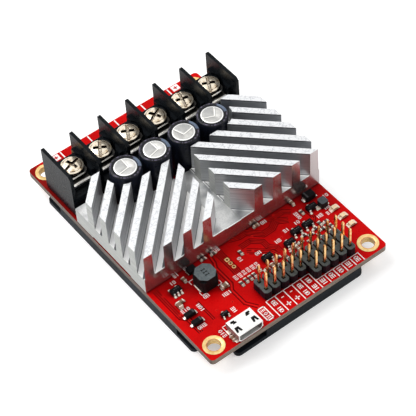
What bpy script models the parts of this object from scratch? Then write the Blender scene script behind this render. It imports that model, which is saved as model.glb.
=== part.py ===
"""Dual-channel motor driver module, in metres, +Z up.

The origin is at the centre of the underside of the base tray. X runs along the front edge of the
circuit board, and Y runs from the pin headers at the front to the terminal block at the back.
"""

import math

import bmesh
import bpy
from mathutils import Matrix

MM = 0.001

# Clearances between neighbouring pieces
SEAT_GAP = 0.3 * MM
CHIP_GAP = 0.1 * MM

# Circuit board
BOARD_WIDTH = 52.0 * MM
BOARD_THICKNESS = 1.6 * MM
BOARD_CORNER_RADIUS = 1.0 * MM
MOUNT_INSET_X = 3.14 * MM
MOUNT_INSET_Y = 3.345 * MM
MOUNT_HOLE_RADIUS = 1.65 * MM
LAND_WIDTH = 0.97 * MM
LAND_THICKNESS = 0.07 * MM

# Base tray
TRAY_HEIGHT = 3.2 * MM
TRAY_FLOOR = 1.2 * MM
TRAY_WALL = 1.5 * MM
TRAY_INSET = 0.1 * MM
TRAY_SCALLOP_RADIUS = 4.4 * MM
TRAY_SHOULDER_RADIUS = 1.2 * MM
TRAY_RIM_MARGIN_X = 15.7 * MM
TRAY_RIM_MARGIN_Y = 13.5 * MM
TRAY_RIM_CORNER = 1.1 * MM
TRAY_BOSS_RADIUS = 3.6 * MM

# Barrier terminal block
TERMINAL_WAYS = 6
TERMINAL_PITCH = 8.25 * MM
TERMINAL_DEPTH = 12.2 * MM
TERMINAL_HEIGHT = 13.2 * MM
TERMINAL_BACK_MARGIN = 7.4 * MM
BARRIER_THICKNESS = 0.9 * MM
BARRIER_NOSE = 0.8 * MM
PLATE_SEAT_HEIGHT = 5.9 * MM
FRONT_LEDGE_DEPTH = 2.1 * MM
FRONT_LEDGE_DROP = 0.6 * MM
REAR_LEDGE_DEPTH = 1.4 * MM
CHEEK_HEIGHT = 3.4 * MM
CHEEK_WIDTH = 0.95 * MM
PLATE_THICKNESS = 0.6 * MM
PLATE_REAR_REACH = 2.6 * MM
CLAMP_WIDTH = 5.6 * MM
CLAMP_CORNER_RADIUS = 1.2 * MM
WELL_RISE = 0.5 * MM
CLAMP_THICKNESS = 0.5 * MM
CLAMP_LIFT = 0.8 * MM
LOCK_RING_RADIUS = 2.5 * MM
LOCK_RING_HEIGHT = 0.25 * MM
SCREW_HEAD_RADIUS = 2.95 * MM
SCREW_HEAD_HEIGHT = 1.25 * MM
SCREW_SHANK_RADIUS = 1.5 * MM
SCREW_LENGTH = 6.0 * MM
SCREW_SLOT_WIDTH = 1.0 * MM
SCREW_SLOT_DEPTH = 0.85 * MM
HEAD_CROWN_SHARE = 0.6
SHANK_CHAMFER_SHARE = 0.3
CROSS_LENGTH_SHARE = 1.25

# Capacitors
CAPACITOR_COUNT = 4
CAPACITOR_DIAMETER = 7.8 * MM
CAPACITOR_HEIGHT = 13.2 * MM
CAPACITOR_SPACING = 0.8 * MM
CAPACITOR_BACK_CLEARANCE = 1.3 * MM
CAPACITOR_LIP = 0.85 * MM
CAPACITOR_LIP_RISE = 0.2 * MM
CAPACITOR_BEAD_TOP = 3.0 * MM
CAPACITOR_BEAD_DEPTH = 0.35 * MM

# Heatsink
HEATSINK_FRONT = 24.8 * MM
HEATSINK_LENGTH = 27.8 * MM
HEATSINK_BACK_CLEARANCE = 1.8 * MM
HEATSINK_HEIGHT = 12.3 * MM
HEATSINK_BASE = 4.65 * MM
FIN_PITCH = 3.98 * MM
FIN_THICKNESS = 1.68 * MM
FIN_DRAFT = 0.08 * MM
FIN_COUNT = 8
FINS_ON_FRONT_EDGE = 4
FIN_FIRST_OFFSET = 0.35 * MM
ROOT_FILLET = 0.35 * MM
CORNER_CLEARING_WIDTH = 8.3 * MM
CHANNEL_WIDTH = 4.5 * MM
CHANNEL_STEP = 0.2 * MM
POCKET_FRONT_CLEARANCE = 0.35 * MM
POCKET_SIDE_CLEARANCE = 1.3 * MM
POCKET_CORNER_RADIUS = 4.4 * MM
SIDE_RELIEF_LENGTH = 15.2 * MM
SIDE_RELIEF_HEIGHT = 0.45 * MM
SIDE_RELIEF_DEPTH = 1.2 * MM
SIDE_RELIEF_FROM_FRONT = 6.0 * MM

# Power transistors and thermal pad under the heatsink
TRANSISTOR_COLUMNS = 4
TRANSISTOR_ROWS = 2
TRANSISTOR_WIDTH = 6.0 * MM
TRANSISTOR_LENGTH = 5.0 * MM
TRANSISTOR_HEIGHT = 1.0 * MM
TRANSISTOR_SPACING = 2.4 * MM
THERMAL_PAD_THICKNESS = 0.5 * MM
THERMAL_PAD_BORDER = 0.6 * MM

# Screws that hold the tray, the board and the heatsink together
ASSEMBLY_SCREW_INSET = 4.6 * MM
ASSEMBLY_HEAD_RADIUS = 2.3 * MM
ASSEMBLY_HEAD_HEIGHT = 1.2 * MM
ASSEMBLY_SHANK_RADIUS = 1.2 * MM
ASSEMBLY_BITE = 3.0 * MM
ASSEMBLY_SLOT_WIDTH = 0.6 * MM
ASSEMBLY_SLOT_DEPTH = 0.6 * MM

# Controller chip under the board
CONTROLLER_SIZE = 7.0 * MM
CONTROLLER_HEIGHT = 1.2 * MM
CONTROLLER_CHAMFER = 0.5 * MM
CONTROLLER_FROM_FRONT = 17.0 * MM

# Pin headers
HEADER_PITCH = 2.54 * MM
HEADER_COLUMNS = 5
HEADER_BACK = 10.45 * MM
HEADER_FROM_LEFT = 19.7 * MM
HEADER_HEIGHT = 2.5 * MM
HEADER_CHAMFER = 0.5 * MM
SHORT_HEADER_ROWS = 2
LONG_HEADER_ROWS = 3
PIN_WIDTH = 0.64 * MM
PIN_HEIGHT = 8.6 * MM
PIN_TIP = 0.35 * MM
PIN_TIP_SHARE = 0.5

# Data port
PORT_FROM_LEFT = 11.3 * MM
PORT_WIDTH = 6.9 * MM
PORT_DEPTH = 4.8 * MM
PORT_HEIGHT = 2.5 * MM
PORT_WALL = 0.3 * MM
PORT_CHAMFER = 0.7 * MM
PORT_WINDOW_WIDTH = 0.8 * MM
PORT_WINDOW_LENGTH = 1.2 * MM
PORT_WINDOW_FROM_FRONT = 1.75 * MM
PORT_WINDOW_SPACING = 4.8 * MM
PORT_NOTCH_WIDTH = 1.0 * MM
PORT_NOTCH_LENGTH = 0.55 * MM
PORT_NOTCH_FROM_BACK = 1.2 * MM
PORT_NOTCH_SPACING = 3.7 * MM
TONGUE_WIDTH = 3.8 * MM
TONGUE_THICKNESS = 0.6 * MM
TONGUE_DROP = 0.35 * MM
TONGUE_SETBACK = 1.0 * MM
TONGUE_ROOT_DEPTH = 1.0 * MM

# Power inductor
INDUCTOR_WIDTH = 4.8 * MM
INDUCTOR_HEIGHT = 4.2 * MM
INDUCTOR_CAP = 0.7 * MM
INDUCTOR_CHAMFER = 1.3 * MM
INDUCTOR_BODY_WIDTH = 4.6 * MM
INDUCTOR_BODY_CHAMFER = 0.5 * MM
INDUCTOR_FROM_LEFT = 12.4 * MM
INDUCTOR_TO_HEATSINK = 6.5 * MM

# Filter inductor
FILTER_WIDTH = 2.1 * MM
FILTER_HEIGHT = 1.8 * MM
FILTER_CORNER = 0.45 * MM
FILTER_EDGE = 0.15 * MM
FILTER_FROM_RIGHT = 3.8 * MM
FILTER_TO_HEATSINK = 5.8 * MM

# Moulded diodes
DIODE_LENGTH = 2.7 * MM
DIODE_WIDTH = 1.4 * MM
DIODE_HEIGHT = 1.15 * MM
DIODE_TAB_REACH = 0.5 * MM
DIODE_TAB_SHARE = 0.6
DIODE_FROM_LEFT = 4.0 * MM
DIODE_FROM_FRONT = 10.6 * MM
DIODE_PITCH = 2.75 * MM
LARGE_DIODE_LENGTH = 2.9 * MM
LARGE_DIODE_WIDTH = 2.2 * MM
LARGE_DIODE_HEIGHT = 1.6 * MM
LARGE_DIODE_FROM_RIGHT = 4.9 * MM
LARGE_DIODE_TO_HEATSINK = 1.9 * MM
TAB_THICKNESS = 0.2 * MM

# Legged chips
CHIP_LENGTH = 2.8 * MM
CHIP_WIDTH = 1.5 * MM
CHIP_HEIGHT = 1.1 * MM
CHIP_TAPER = 0.1 * MM
LEG_PITCH = 0.95 * MM
LEG_WIDTH = 0.4 * MM
LEG_REACH = 0.6 * MM
LEG_THICKNESS = 0.16 * MM
LEG_ROOT_HEIGHT = 0.55 * MM
LEG_KNEE = 0.18 * MM
LEG_SHIN = 0.33 * MM
SMALL_CHIP_SCALE = 0.72
REGULATOR_FROM_LEFT = 5.55 * MM
REGULATOR_TO_HEATSINK = 4.05 * MM
LOGIC_FROM_RIGHT = 6.6 * MM
LOGIC_TO_HEATSINK = 4.9 * MM
PORT_CHIP_TO_PORT = 3.5 * MM
PORT_CHIP_SHIFT = 1.1 * MM
DRIVER_WIDTH = 2.2 * MM
DRIVER_LENGTH = 1.8 * MM
DRIVER_HEIGHT = 1.0 * MM
DRIVER_FROM_LEFT = 12.0 * MM
DRIVER_TO_HEATSINK = 1.5 * MM
SWITCH_TO_HEADER = (4.4 * MM, 4.4 * MM, 6.15 * MM, 6.1 * MM)
SWITCH_FROM_LEFT = (27.85 * MM, 34.6 * MM, 38.0 * MM, 41.45 * MM)

# Light-emitting diodes
LED_LENGTH = 2.0 * MM
LED_WIDTH = 1.25 * MM
LED_BASE_HEIGHT = 0.3 * MM
LED_LENS_HEIGHT = 0.5 * MM
LED_LENS_SHARE = 0.62
LED_COUNT = 3
LED_PITCH = 3.13 * MM
LED_FROM_RIGHT = 2.4 * MM
LED_FROM_FRONT = 10.15 * MM

# Facets of the round forms
ROUND_STEPS = 24
SMALL_ROUND_STEPS = 12
CORNER_STEPS = 5
SHARP_ANGLE = 35.0

# Levels and lines worked out from the sizes above
BOARD_BOTTOM = TRAY_HEIGHT + SEAT_GAP
BOARD_TOP = BOARD_BOTTOM + BOARD_THICKNESS
SEAT = BOARD_TOP + SEAT_GAP
CHIP_SEAT = BOARD_TOP + CHIP_GAP
BOARD_LEFT = -BOARD_WIDTH / 2
BOARD_RIGHT = BOARD_WIDTH / 2
BOARD_LENGTH = (
    HEATSINK_FRONT + HEATSINK_LENGTH + HEATSINK_BACK_CLEARANCE + TERMINAL_DEPTH
    + TERMINAL_BACK_MARGIN)
BOARD_FRONT = -BOARD_LENGTH / 2
BOARD_BACK = BOARD_LENGTH / 2
MOUNT_X = BOARD_RIGHT - MOUNT_INSET_X
MOUNT_Y = BOARD_BACK - MOUNT_INSET_Y
TERMINAL_BACK = BOARD_BACK - TERMINAL_BACK_MARGIN
TERMINAL_FRONT = TERMINAL_BACK - TERMINAL_DEPTH
TERMINAL_LENGTH = TERMINAL_WAYS * TERMINAL_PITCH + BARRIER_THICKNESS
BAY_WIDTH = TERMINAL_PITCH - BARRIER_THICKNESS
SCREW_LINE = TERMINAL_FRONT + FRONT_LEDGE_DEPTH + (
    TERMINAL_DEPTH - FRONT_LEDGE_DEPTH - REAR_LEDGE_DEPTH) / 2
PLATE_BOTTOM = SEAT + PLATE_SEAT_HEIGHT + SEAT_GAP
PLATE_TOP = PLATE_BOTTOM + PLATE_THICKNESS
CLAMP_BOTTOM = PLATE_TOP + CLAMP_LIFT
RING_BOTTOM = CLAMP_BOTTOM + CLAMP_THICKNESS
HEAD_BOTTOM = RING_BOTTOM + LOCK_RING_HEIGHT + CHIP_GAP
WELL_RADIUS = CLAMP_WIDTH / math.sqrt(2) + SEAT_GAP - CLAMP_CORNER_RADIUS * (math.sqrt(2) - 1)
CAPACITOR_RADIUS = CAPACITOR_DIAMETER / 2
CAPACITOR_PITCH = CAPACITOR_DIAMETER + CAPACITOR_SPACING
CAPACITOR_LINE = TERMINAL_FRONT - CAPACITOR_BACK_CLEARANCE - CAPACITOR_RADIUS
POCKET_FRONT = CAPACITOR_LINE - CAPACITOR_RADIUS - POCKET_FRONT_CLEARANCE
POCKET_HALF_WIDTH = (
    (CAPACITOR_COUNT - 1) * CAPACITOR_PITCH / 2 + CAPACITOR_RADIUS + POCKET_SIDE_CLEARANCE)
SINK_FRONT = BOARD_FRONT + HEATSINK_FRONT
SINK_BACK = TERMINAL_FRONT - HEATSINK_BACK_CLEARANCE
SINK_FLOOR = SEAT + HEATSINK_BASE
PAD_BOTTOM = CHIP_SEAT + TRANSISTOR_HEIGHT + SEAT_GAP
PAD_TOP = PAD_BOTTOM + THERMAL_PAD_THICKNESS
TRANSISTOR_FIELD_WIDTH = (
    TRANSISTOR_COLUMNS * (TRANSISTOR_WIDTH + TRANSISTOR_SPACING) - TRANSISTOR_SPACING)
TRANSISTOR_FIELD_LENGTH = (
    TRANSISTOR_ROWS * (TRANSISTOR_LENGTH + TRANSISTOR_SPACING) - TRANSISTOR_SPACING)
TRANSISTOR_LINE = (SINK_FRONT + POCKET_FRONT) / 2
PAD_WIDTH = TRANSISTOR_FIELD_WIDTH + 2 * THERMAL_PAD_BORDER
PAD_LENGTH = TRANSISTOR_FIELD_LENGTH + 2 * THERMAL_PAD_BORDER
HEADER_LEFT = BOARD_LEFT + HEADER_FROM_LEFT
HEADER_BACK_LINE = BOARD_FRONT + HEADER_BACK
PORT_LINE = BOARD_LEFT + PORT_FROM_LEFT
PORT_BACK = BOARD_FRONT + CHIP_GAP + PORT_DEPTH


def clear_scene():
    for item in list(bpy.data.objects):
        bpy.data.objects.remove(item, do_unlink=True)


def new_collection(name):
    collection = bpy.data.collections.new(name)
    bpy.context.scene.collection.children.link(collection)
    return collection


def material(name, colour, roughness, metallic=0.0):
    result = bpy.data.materials.new(name)
    result.use_nodes = True
    shader = result.node_tree.nodes["Principled BSDF"]
    shader.inputs["Base Color"].default_value = (*colour, 1.0)
    shader.inputs["Roughness"].default_value = roughness
    shader.inputs["Metallic"].default_value = metallic
    return result


def place(name, mesh, look, location=(0.0, 0.0, 0.0), turn=0.0):
    item = bpy.data.objects.new(name, mesh)
    item.location = location
    item.rotation_euler = (0.0, 0.0, turn)
    if look is not None and not mesh.materials:
        mesh.materials.append(look)
    PARTS.objects.link(item)
    return item


def mesh_from(name, work, rounded=False):
    """The finished mesh; where rounded, its upright walls are smooth up to sharp corners."""
    mesh = bpy.data.meshes.new(name)
    bmesh.ops.recalc_face_normals(work, faces=work.faces)
    for face in work.faces:
        face.smooth = rounded and abs(face.normal.z) < 0.5
    work.to_mesh(mesh)
    work.free()
    if rounded:
        mesh.set_sharp_from_angle(angle=math.radians(SHARP_ANGLE))
    return mesh


def box(name, width, length, height, taper=0.0):
    """A box on its base centre; taper draws in each side of the top."""
    work = bmesh.new()
    bmesh.ops.create_cube(work, size=1.0)
    for vertex in work.verts:
        top = vertex.co.z > 0
        inset = taper if top else 0.0
        vertex.co.x *= width - 2 * inset
        vertex.co.y *= length - 2 * inset
        vertex.co.z = height if top else 0.0
    return mesh_from(name, work)


def rod(name, radius, height, steps=ROUND_STEPS):
    """A cylinder on its base centre."""
    work = bmesh.new()
    bmesh.ops.create_cone(
        work, cap_ends=True, segments=steps, radius1=radius, radius2=radius, depth=height)
    bmesh.ops.translate(work, verts=work.verts, vec=(0.0, 0.0, height / 2))
    return mesh_from(name, work, rounded=True)


def arc(centre, radius, start, end, steps=CORNER_STEPS):
    """Points on an arc from start to end, in degrees."""
    points = []
    for index in range(steps + 1):
        angle = math.radians(start + (end - start) * index / steps)
        points.append((centre[0] + radius * math.cos(angle), centre[1] + radius * math.sin(angle)))
    return points


def ring(centre, radius, steps=ROUND_STEPS):
    return arc(centre, radius, 0.0, 360.0, steps)[:-1]


def rounded_rectangle(width, length, radius):
    points = []
    for sign_x, sign_y, start in ((1, 1, 0), (-1, 1, 90), (-1, -1, 180), (1, -1, 270)):
        centre = (sign_x * (width / 2 - radius), sign_y * (length / 2 - radius))
        points.extend(arc(centre, radius, start, start + 90))
    return points


def chamfered_rectangle(width, length, chamfer):
    half_x = width / 2
    half_y = length / 2
    return [
        (half_x, -half_y + chamfer), (half_x, half_y - chamfer),
        (half_x - chamfer, half_y), (-half_x + chamfer, half_y),
        (-half_x, half_y - chamfer), (-half_x, -half_y + chamfer),
        (-half_x + chamfer, -half_y), (half_x - chamfer, -half_y)]


def prism(name, outlines, height):
    """A flat outline, with any holes, raised from z = 0 to the height."""
    curve = bpy.data.curves.new(name, "CURVE")
    curve.dimensions = "2D"
    curve.fill_mode = "BOTH"
    curve.extrude = height / 2
    for outline in outlines:
        spline = curve.splines.new("POLY")
        spline.points.add(len(outline) - 1)
        for point, (x, y) in zip(spline.points, outline):
            point.co = (x, y, 0.0, 1.0)
        spline.use_cyclic_u = True
    source = bpy.data.objects.new(name, curve)
    bpy.context.scene.collection.objects.link(source)
    bpy.context.view_layer.update()
    evaluated = source.evaluated_get(bpy.context.evaluated_depsgraph_get())
    raw = bpy.data.meshes.new_from_object(evaluated)
    work = bmesh.new()
    work.from_mesh(raw)
    bmesh.ops.remove_doubles(work, verts=work.verts, dist=0.000001)
    bmesh.ops.translate(work, verts=work.verts, vec=(0.0, 0.0, height / 2))
    bpy.data.objects.remove(source, do_unlink=True)
    bpy.data.curves.remove(curve)
    bpy.data.meshes.remove(raw)
    return mesh_from(name, work, rounded=True)


def combine(target, mesh, operation, location=(0.0, 0.0, 0.0), turn=(0.0, 0.0, 0.0)):
    """Adds a Boolean modifier whose operand is the mesh at the given place."""
    tool = bpy.data.objects.new(f"{target.name}_tool", mesh)
    tool.location = location
    tool.rotation_euler = turn
    tool.hide_render = True
    tool.display_type = "WIRE"
    CUTTERS.objects.link(tool)
    modifier = target.modifiers.new("shape", "BOOLEAN")
    modifier.operation = operation
    modifier.solver = "EXACT"
    modifier.object = tool
    return tool


def cut(target, mesh, location=(0.0, 0.0, 0.0), turn=(0.0, 0.0, 0.0)):
    return combine(target, mesh, "DIFFERENCE", location, turn)


def join(target, mesh, location=(0.0, 0.0, 0.0), turn=(0.0, 0.0, 0.0)):
    return combine(target, mesh, "UNION", location, turn)


def shade(mesh):
    """Smooth shading with sharp corners."""
    mesh.shade_smooth()
    mesh.set_sharp_from_angle(angle=math.radians(SHARP_ANGLE))


def finished_mesh(item):
    """The evaluated mesh of an object, which is removed with its tools."""
    bpy.context.view_layer.update()
    evaluated = item.evaluated_get(bpy.context.evaluated_depsgraph_get())
    mesh = bpy.data.meshes.new_from_object(evaluated)
    tools = [modifier.object for modifier in item.modifiers if modifier.type == "BOOLEAN"]
    bpy.data.objects.remove(item, do_unlink=True)
    for tool in tools:
        bpy.data.objects.remove(tool, do_unlink=True)
    return mesh


def corners(half_x, half_y):
    return [(sx * half_x, sy * half_y) for sx in (-1, 1) for sy in (-1, 1)]


def assembly_points():
    """Axes of the four screws that clamp tray, board and heatsink."""
    side = BOARD_WIDTH / 2 - ASSEMBLY_SCREW_INSET
    rows = (SINK_FRONT + ASSEMBLY_SCREW_INSET, SINK_BACK - ASSEMBLY_SCREW_INSET)
    return [(sign * side, row) for sign in (-1, 1) for row in rows]


def circuit_board(look):
    """A plated land round each mounting hole stands proud on both faces."""
    outlines = [rounded_rectangle(BOARD_WIDTH, BOARD_LENGTH, BOARD_CORNER_RADIUS)]
    for centre in assembly_points():
        outlines.append(ring(centre, ASSEMBLY_SHANK_RADIUS + SEAT_GAP, SMALL_ROUND_STEPS))
    mesh = prism("circuit_board", outlines, BOARD_THICKNESS)
    board = place("circuit_board", mesh, look, (0.0, 0.0, BOARD_BOTTOM))
    land_height = BOARD_THICKNESS + 2 * LAND_THICKNESS
    for x, y in corners(MOUNT_X, MOUNT_Y):
        join(board, rod("land", MOUNT_HOLE_RADIUS + LAND_WIDTH, land_height),
             (x, y, BOARD_BOTTOM - LAND_THICKNESS))
    for x, y in corners(MOUNT_X, MOUNT_Y):
        cut(board, rod("mounting_hole", MOUNT_HOLE_RADIUS, 3 * BOARD_THICKNESS),
            (x, y, BOARD_BOTTOM - BOARD_THICKNESS))


def shoulder_centres():
    """Centres of the two rounded shoulders of a scallop: on the long side, and on the end."""
    near_x = BOARD_WIDTH / 2 - TRAY_INSET - TRAY_SHOULDER_RADIUS
    near_y = BOARD_LENGTH / 2 - TRAY_INSET - TRAY_SHOULDER_RADIUS
    reach = TRAY_SCALLOP_RADIUS + TRAY_SHOULDER_RADIUS
    rise = math.sqrt(reach ** 2 - (near_x - MOUNT_X) ** 2)
    run = math.sqrt(reach ** 2 - (near_y - MOUNT_Y) ** 2)
    return (near_x, MOUNT_Y - rise), (MOUNT_X - run, near_y)


def scalloped_outline():
    """Tray outline: an arc about each mounting hole, with a rounded shoulder at each end."""
    side, end = shoulder_centres()
    side_angle = math.degrees(math.atan2(MOUNT_Y - side[1], MOUNT_X - side[0]))
    end_angle = math.degrees(math.atan2(MOUNT_Y - end[1], MOUNT_X - end[0]))
    quarter = arc(side, TRAY_SHOULDER_RADIUS, 0.0, side_angle)
    scallop = arc((MOUNT_X, MOUNT_Y), TRAY_SCALLOP_RADIUS, side_angle - 180.0, end_angle - 180.0, 8)
    quarter.extend(scallop[1:-1])
    quarter.extend(arc(end, TRAY_SHOULDER_RADIUS, end_angle, 90.0))
    points = []
    for sign_x, sign_y in ((1, 1), (-1, 1), (-1, -1), (1, -1)):
        stretch = quarter if sign_x * sign_y > 0 else list(reversed(quarter))
        points.extend((sign_x * x, sign_y * y) for x, y in stretch)
    return points


def base_tray(look):
    """The rim runs on to the right-hand corner in front, and is open under the data port."""
    mesh = prism("base_tray", [scalloped_outline()], TRAY_FLOOR)
    tray = place("base_tray", mesh, look)
    rim_height = TRAY_HEIGHT - TRAY_FLOOR / 2
    side = BOARD_WIDTH / 2 - TRAY_INSET - TRAY_WALL / 2
    end = BOARD_LENGTH / 2 - TRAY_INSET - TRAY_WALL / 2
    long_wall = BOARD_LENGTH - 2 * TRAY_RIM_MARGIN_Y
    short_wall = BOARD_WIDTH - 2 * TRAY_RIM_MARGIN_X
    for sign in (-1, 1):
        join(tray, box("side_wall", TRAY_WALL, long_wall, rim_height),
             (sign * side, 0.0, TRAY_FLOOR / 2))
    join(tray, box("back_wall", short_wall, TRAY_WALL, rim_height), (0.0, end, TRAY_FLOOR / 2))
    corner_x, corner_y = shoulder_centres()[1]
    left = TRAY_RIM_MARGIN_X - BOARD_WIDTH / 2
    join(tray, box("front_wall", corner_x - left, TRAY_WALL, rim_height),
         ((corner_x + left) / 2, -end, TRAY_FLOOR / 2))
    join(tray, rod("rim_corner", TRAY_RIM_CORNER, rim_height, SMALL_ROUND_STEPS),
         (corner_x, -corner_y, TRAY_FLOOR / 2))
    for x, y in assembly_points():
        join(tray, rod("boss", TRAY_BOSS_RADIUS, rim_height), (x, y, TRAY_FLOOR / 2))
    for x, y in assembly_points():
        cut(tray, rod("shank_hole", ASSEMBLY_SHANK_RADIUS + SEAT_GAP, 3 * TRAY_HEIGHT, SMALL_ROUND_STEPS),
            (x, y, -TRAY_HEIGHT))
        cut(tray, rod("counterbore", ASSEMBLY_HEAD_RADIUS + SEAT_GAP,
                      TRAY_HEIGHT + ASSEMBLY_HEAD_HEIGHT + 2 * SEAT_GAP),
            (x, y, -TRAY_HEIGHT))


def groove_tool(width_top, width_bottom, length):
    """A drafted groove with filleted roots, along X about its middle, floor at z = 0."""
    work = bmesh.new()
    bmesh.ops.create_cube(work, size=1.0)
    height = 2 * (HEATSINK_HEIGHT - HEATSINK_BASE)
    slope = (width_top - width_bottom) * 2
    for vertex in work.verts:
        top = vertex.co.z > 0
        vertex.co.x *= length
        vertex.co.y *= width_bottom + slope if top else width_bottom
        vertex.co.z = height if top else 0.0
    roots = [
        edge for edge in work.edges
        if all(vertex.co.z == 0.0 for vertex in edge.verts)
        and abs(edge.verts[0].co.y - edge.verts[1].co.y) < 1e-9]
    bmesh.ops.bevel(
        work, geom=roots, offset=ROOT_FILLET, segments=2, profile=0.5, affect="EDGES")
    return mesh_from("groove", work)


def heatsink(look):
    """Half of the heatsink is cut, at -X, and mirrored."""
    length = SINK_BACK - SINK_FRONT
    centre = (SINK_BACK + SINK_FRONT) / 2
    mesh = box("heatsink", BOARD_WIDTH, length, HEATSINK_HEIGHT)
    sink = place("heatsink", mesh, look, (0.0, centre, SEAT))
    # The diagonal grooves lie between the fins, and the two outer ones are wide clearings.
    step = FIN_PITCH * math.sqrt(2)
    fin_run = FIN_THICKNESS * math.sqrt(2)
    gap = FIN_PITCH - FIN_THICKNESS
    first_fin = FINS_ON_FRONT_EDGE - FIN_COUNT
    run = 2 * (BOARD_WIDTH / 2 + length)
    for index in range(first_fin - 1, FINS_ON_FRONT_EDGE):
        outer = index in (first_fin - 1, FINS_ON_FRONT_EDGE - 1)
        width = CORNER_CLEARING_WIDTH if outer else gap
        # start of the groove on the front line, measured along X
        left = BOARD_LEFT + FIN_FIRST_OFFSET + index * step + fin_run
        if index == first_fin - 1:
            left += (gap - width) * math.sqrt(2)
        middle = left + width / math.sqrt(2)
        # the groove's centre line crosses x = 0 at this y
        cross_y = SINK_FRONT - middle
        cut(sink, groove_tool(width, width - 2 * FIN_DRAFT, run),
            (0.0, cross_y, SINK_FLOOR), (0.0, 0.0, math.radians(45.0)))
    channel = box("channel", CHANNEL_WIDTH, 2 * length, HEATSINK_HEIGHT)
    cut(sink, channel, (0.0, centre, SINK_FLOOR - CHANNEL_STEP))
    pocket_length = SINK_BACK - POCKET_FRONT
    pocket = prism(
        "pocket",
        [rounded_rectangle(2 * POCKET_HALF_WIDTH, 2 * pocket_length, POCKET_CORNER_RADIUS)],
        3 * HEATSINK_HEIGHT)
    cut(sink, pocket, (0.0, SINK_BACK, SEAT - HEATSINK_HEIGHT))
    recess_depth = PAD_TOP + SEAT_GAP - SEAT
    recess = box("recess", PAD_WIDTH + 2 * SEAT_GAP, PAD_LENGTH + 2 * SEAT_GAP,
                 2 * recess_depth)
    cut(sink, recess, (0.0, TRANSISTOR_LINE, SEAT - recess_depth))
    relief = box("side_relief", 2 * SIDE_RELIEF_DEPTH, SIDE_RELIEF_LENGTH, 2 * SIDE_RELIEF_HEIGHT)
    relief_y = SINK_FRONT + SIDE_RELIEF_FROM_FRONT + SIDE_RELIEF_LENGTH / 2
    cut(sink, relief, (BOARD_LEFT, relief_y, SEAT - SIDE_RELIEF_HEIGHT))
    for x, y in assembly_points():
        if x < 0:
            depth = ASSEMBLY_BITE + SEAT_GAP
            cut(sink, rod("tapped_hole", ASSEMBLY_SHANK_RADIUS + SEAT_GAP, 2 * depth, SMALL_ROUND_STEPS),
                (x, y, SEAT - depth))
    mirror = sink.modifiers.new("other_half", "MIRROR")
    mirror.use_axis = (True, False, False)
    mirror.use_bisect_axis = (True, False, False)
    mirror.use_bisect_flip_axis = (True, False, False)
    mirror.merge_threshold = 0.00001


def thermal_parts(pad_look, chip_look):
    pad = box("thermal_pad", PAD_WIDTH, PAD_LENGTH, THERMAL_PAD_THICKNESS)
    place("thermal_pad", pad, pad_look, (0.0, TRANSISTOR_LINE, PAD_BOTTOM))
    mesh = box("power_transistor", TRANSISTOR_WIDTH, TRANSISTOR_LENGTH, TRANSISTOR_HEIGHT, CHIP_TAPER)
    pitch_x = TRANSISTOR_WIDTH + TRANSISTOR_SPACING
    pitch_y = TRANSISTOR_LENGTH + TRANSISTOR_SPACING
    for row in range(TRANSISTOR_ROWS):
        for column in range(TRANSISTOR_COLUMNS):
            number = row * TRANSISTOR_COLUMNS + column + 1
            x = (column - (TRANSISTOR_COLUMNS - 1) / 2) * pitch_x
            y = TRANSISTOR_LINE + (row - (TRANSISTOR_ROWS - 1) / 2) * pitch_y
            place(f"power_transistor_{number}", mesh, chip_look, (x, y, CHIP_SEAT))


def controller_chip(look):
    mesh = prism(
        "controller_chip",
        [chamfered_rectangle(CONTROLLER_SIZE, CONTROLLER_SIZE, CONTROLLER_CHAMFER)],
        CONTROLLER_HEIGHT)
    place("controller_chip", mesh, look,
          (0.0, BOARD_FRONT + CONTROLLER_FROM_FRONT, BOARD_BOTTOM - CHIP_GAP - CONTROLLER_HEIGHT))


def turned(name, profile, steps=ROUND_STEPS):
    """A mesh turned about Z from a profile that runs from the top down its outer side."""
    mesh = bpy.data.meshes.new(name)
    vertices = [(x, 0.0, z) for x, z in profile]
    edges = [(index, index + 1) for index in range(len(profile) - 1)]
    mesh.from_pydata(vertices, edges, [])
    item = place(name, mesh, None)
    screw = item.modifiers.new("turned", "SCREW")
    screw.angle = math.tau
    screw.steps = steps
    screw.render_steps = steps
    screw.use_merge_vertices = True
    screw.merge_threshold = 0.00001
    return item


def capacitors(look):
    """Turned cans: a rolled lip round a sunk disc, and a bead near the foot."""
    radius = CAPACITOR_RADIUS
    height = CAPACITOR_HEIGHT
    roll = CAPACITOR_LIP / 2
    disc = height - CAPACITOR_LIP_RISE
    profile = [(0.0, disc), (radius - CAPACITOR_LIP, disc), (radius - CAPACITOR_LIP, height)]
    profile.extend(reversed(arc((radius - roll, height - roll), roll, 0.0, 90.0, 3)))
    profile.extend([
        (radius, CAPACITOR_BEAD_TOP), (radius - CAPACITOR_BEAD_DEPTH, CAPACITOR_BEAD_TOP / 2 + roll),
        (radius, CAPACITOR_BEAD_TOP / 2), (radius - roll, 0.0), (0.0, 0.0)])
    mesh = finished_mesh(turned("capacitor", profile))
    shade(mesh)
    for index in range(CAPACITOR_COUNT):
        x = (index - (CAPACITOR_COUNT - 1) / 2) * CAPACITOR_PITCH
        place(f"capacitor_{index + 1}", mesh, look, (x, CAPACITOR_LINE, SEAT))


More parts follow.
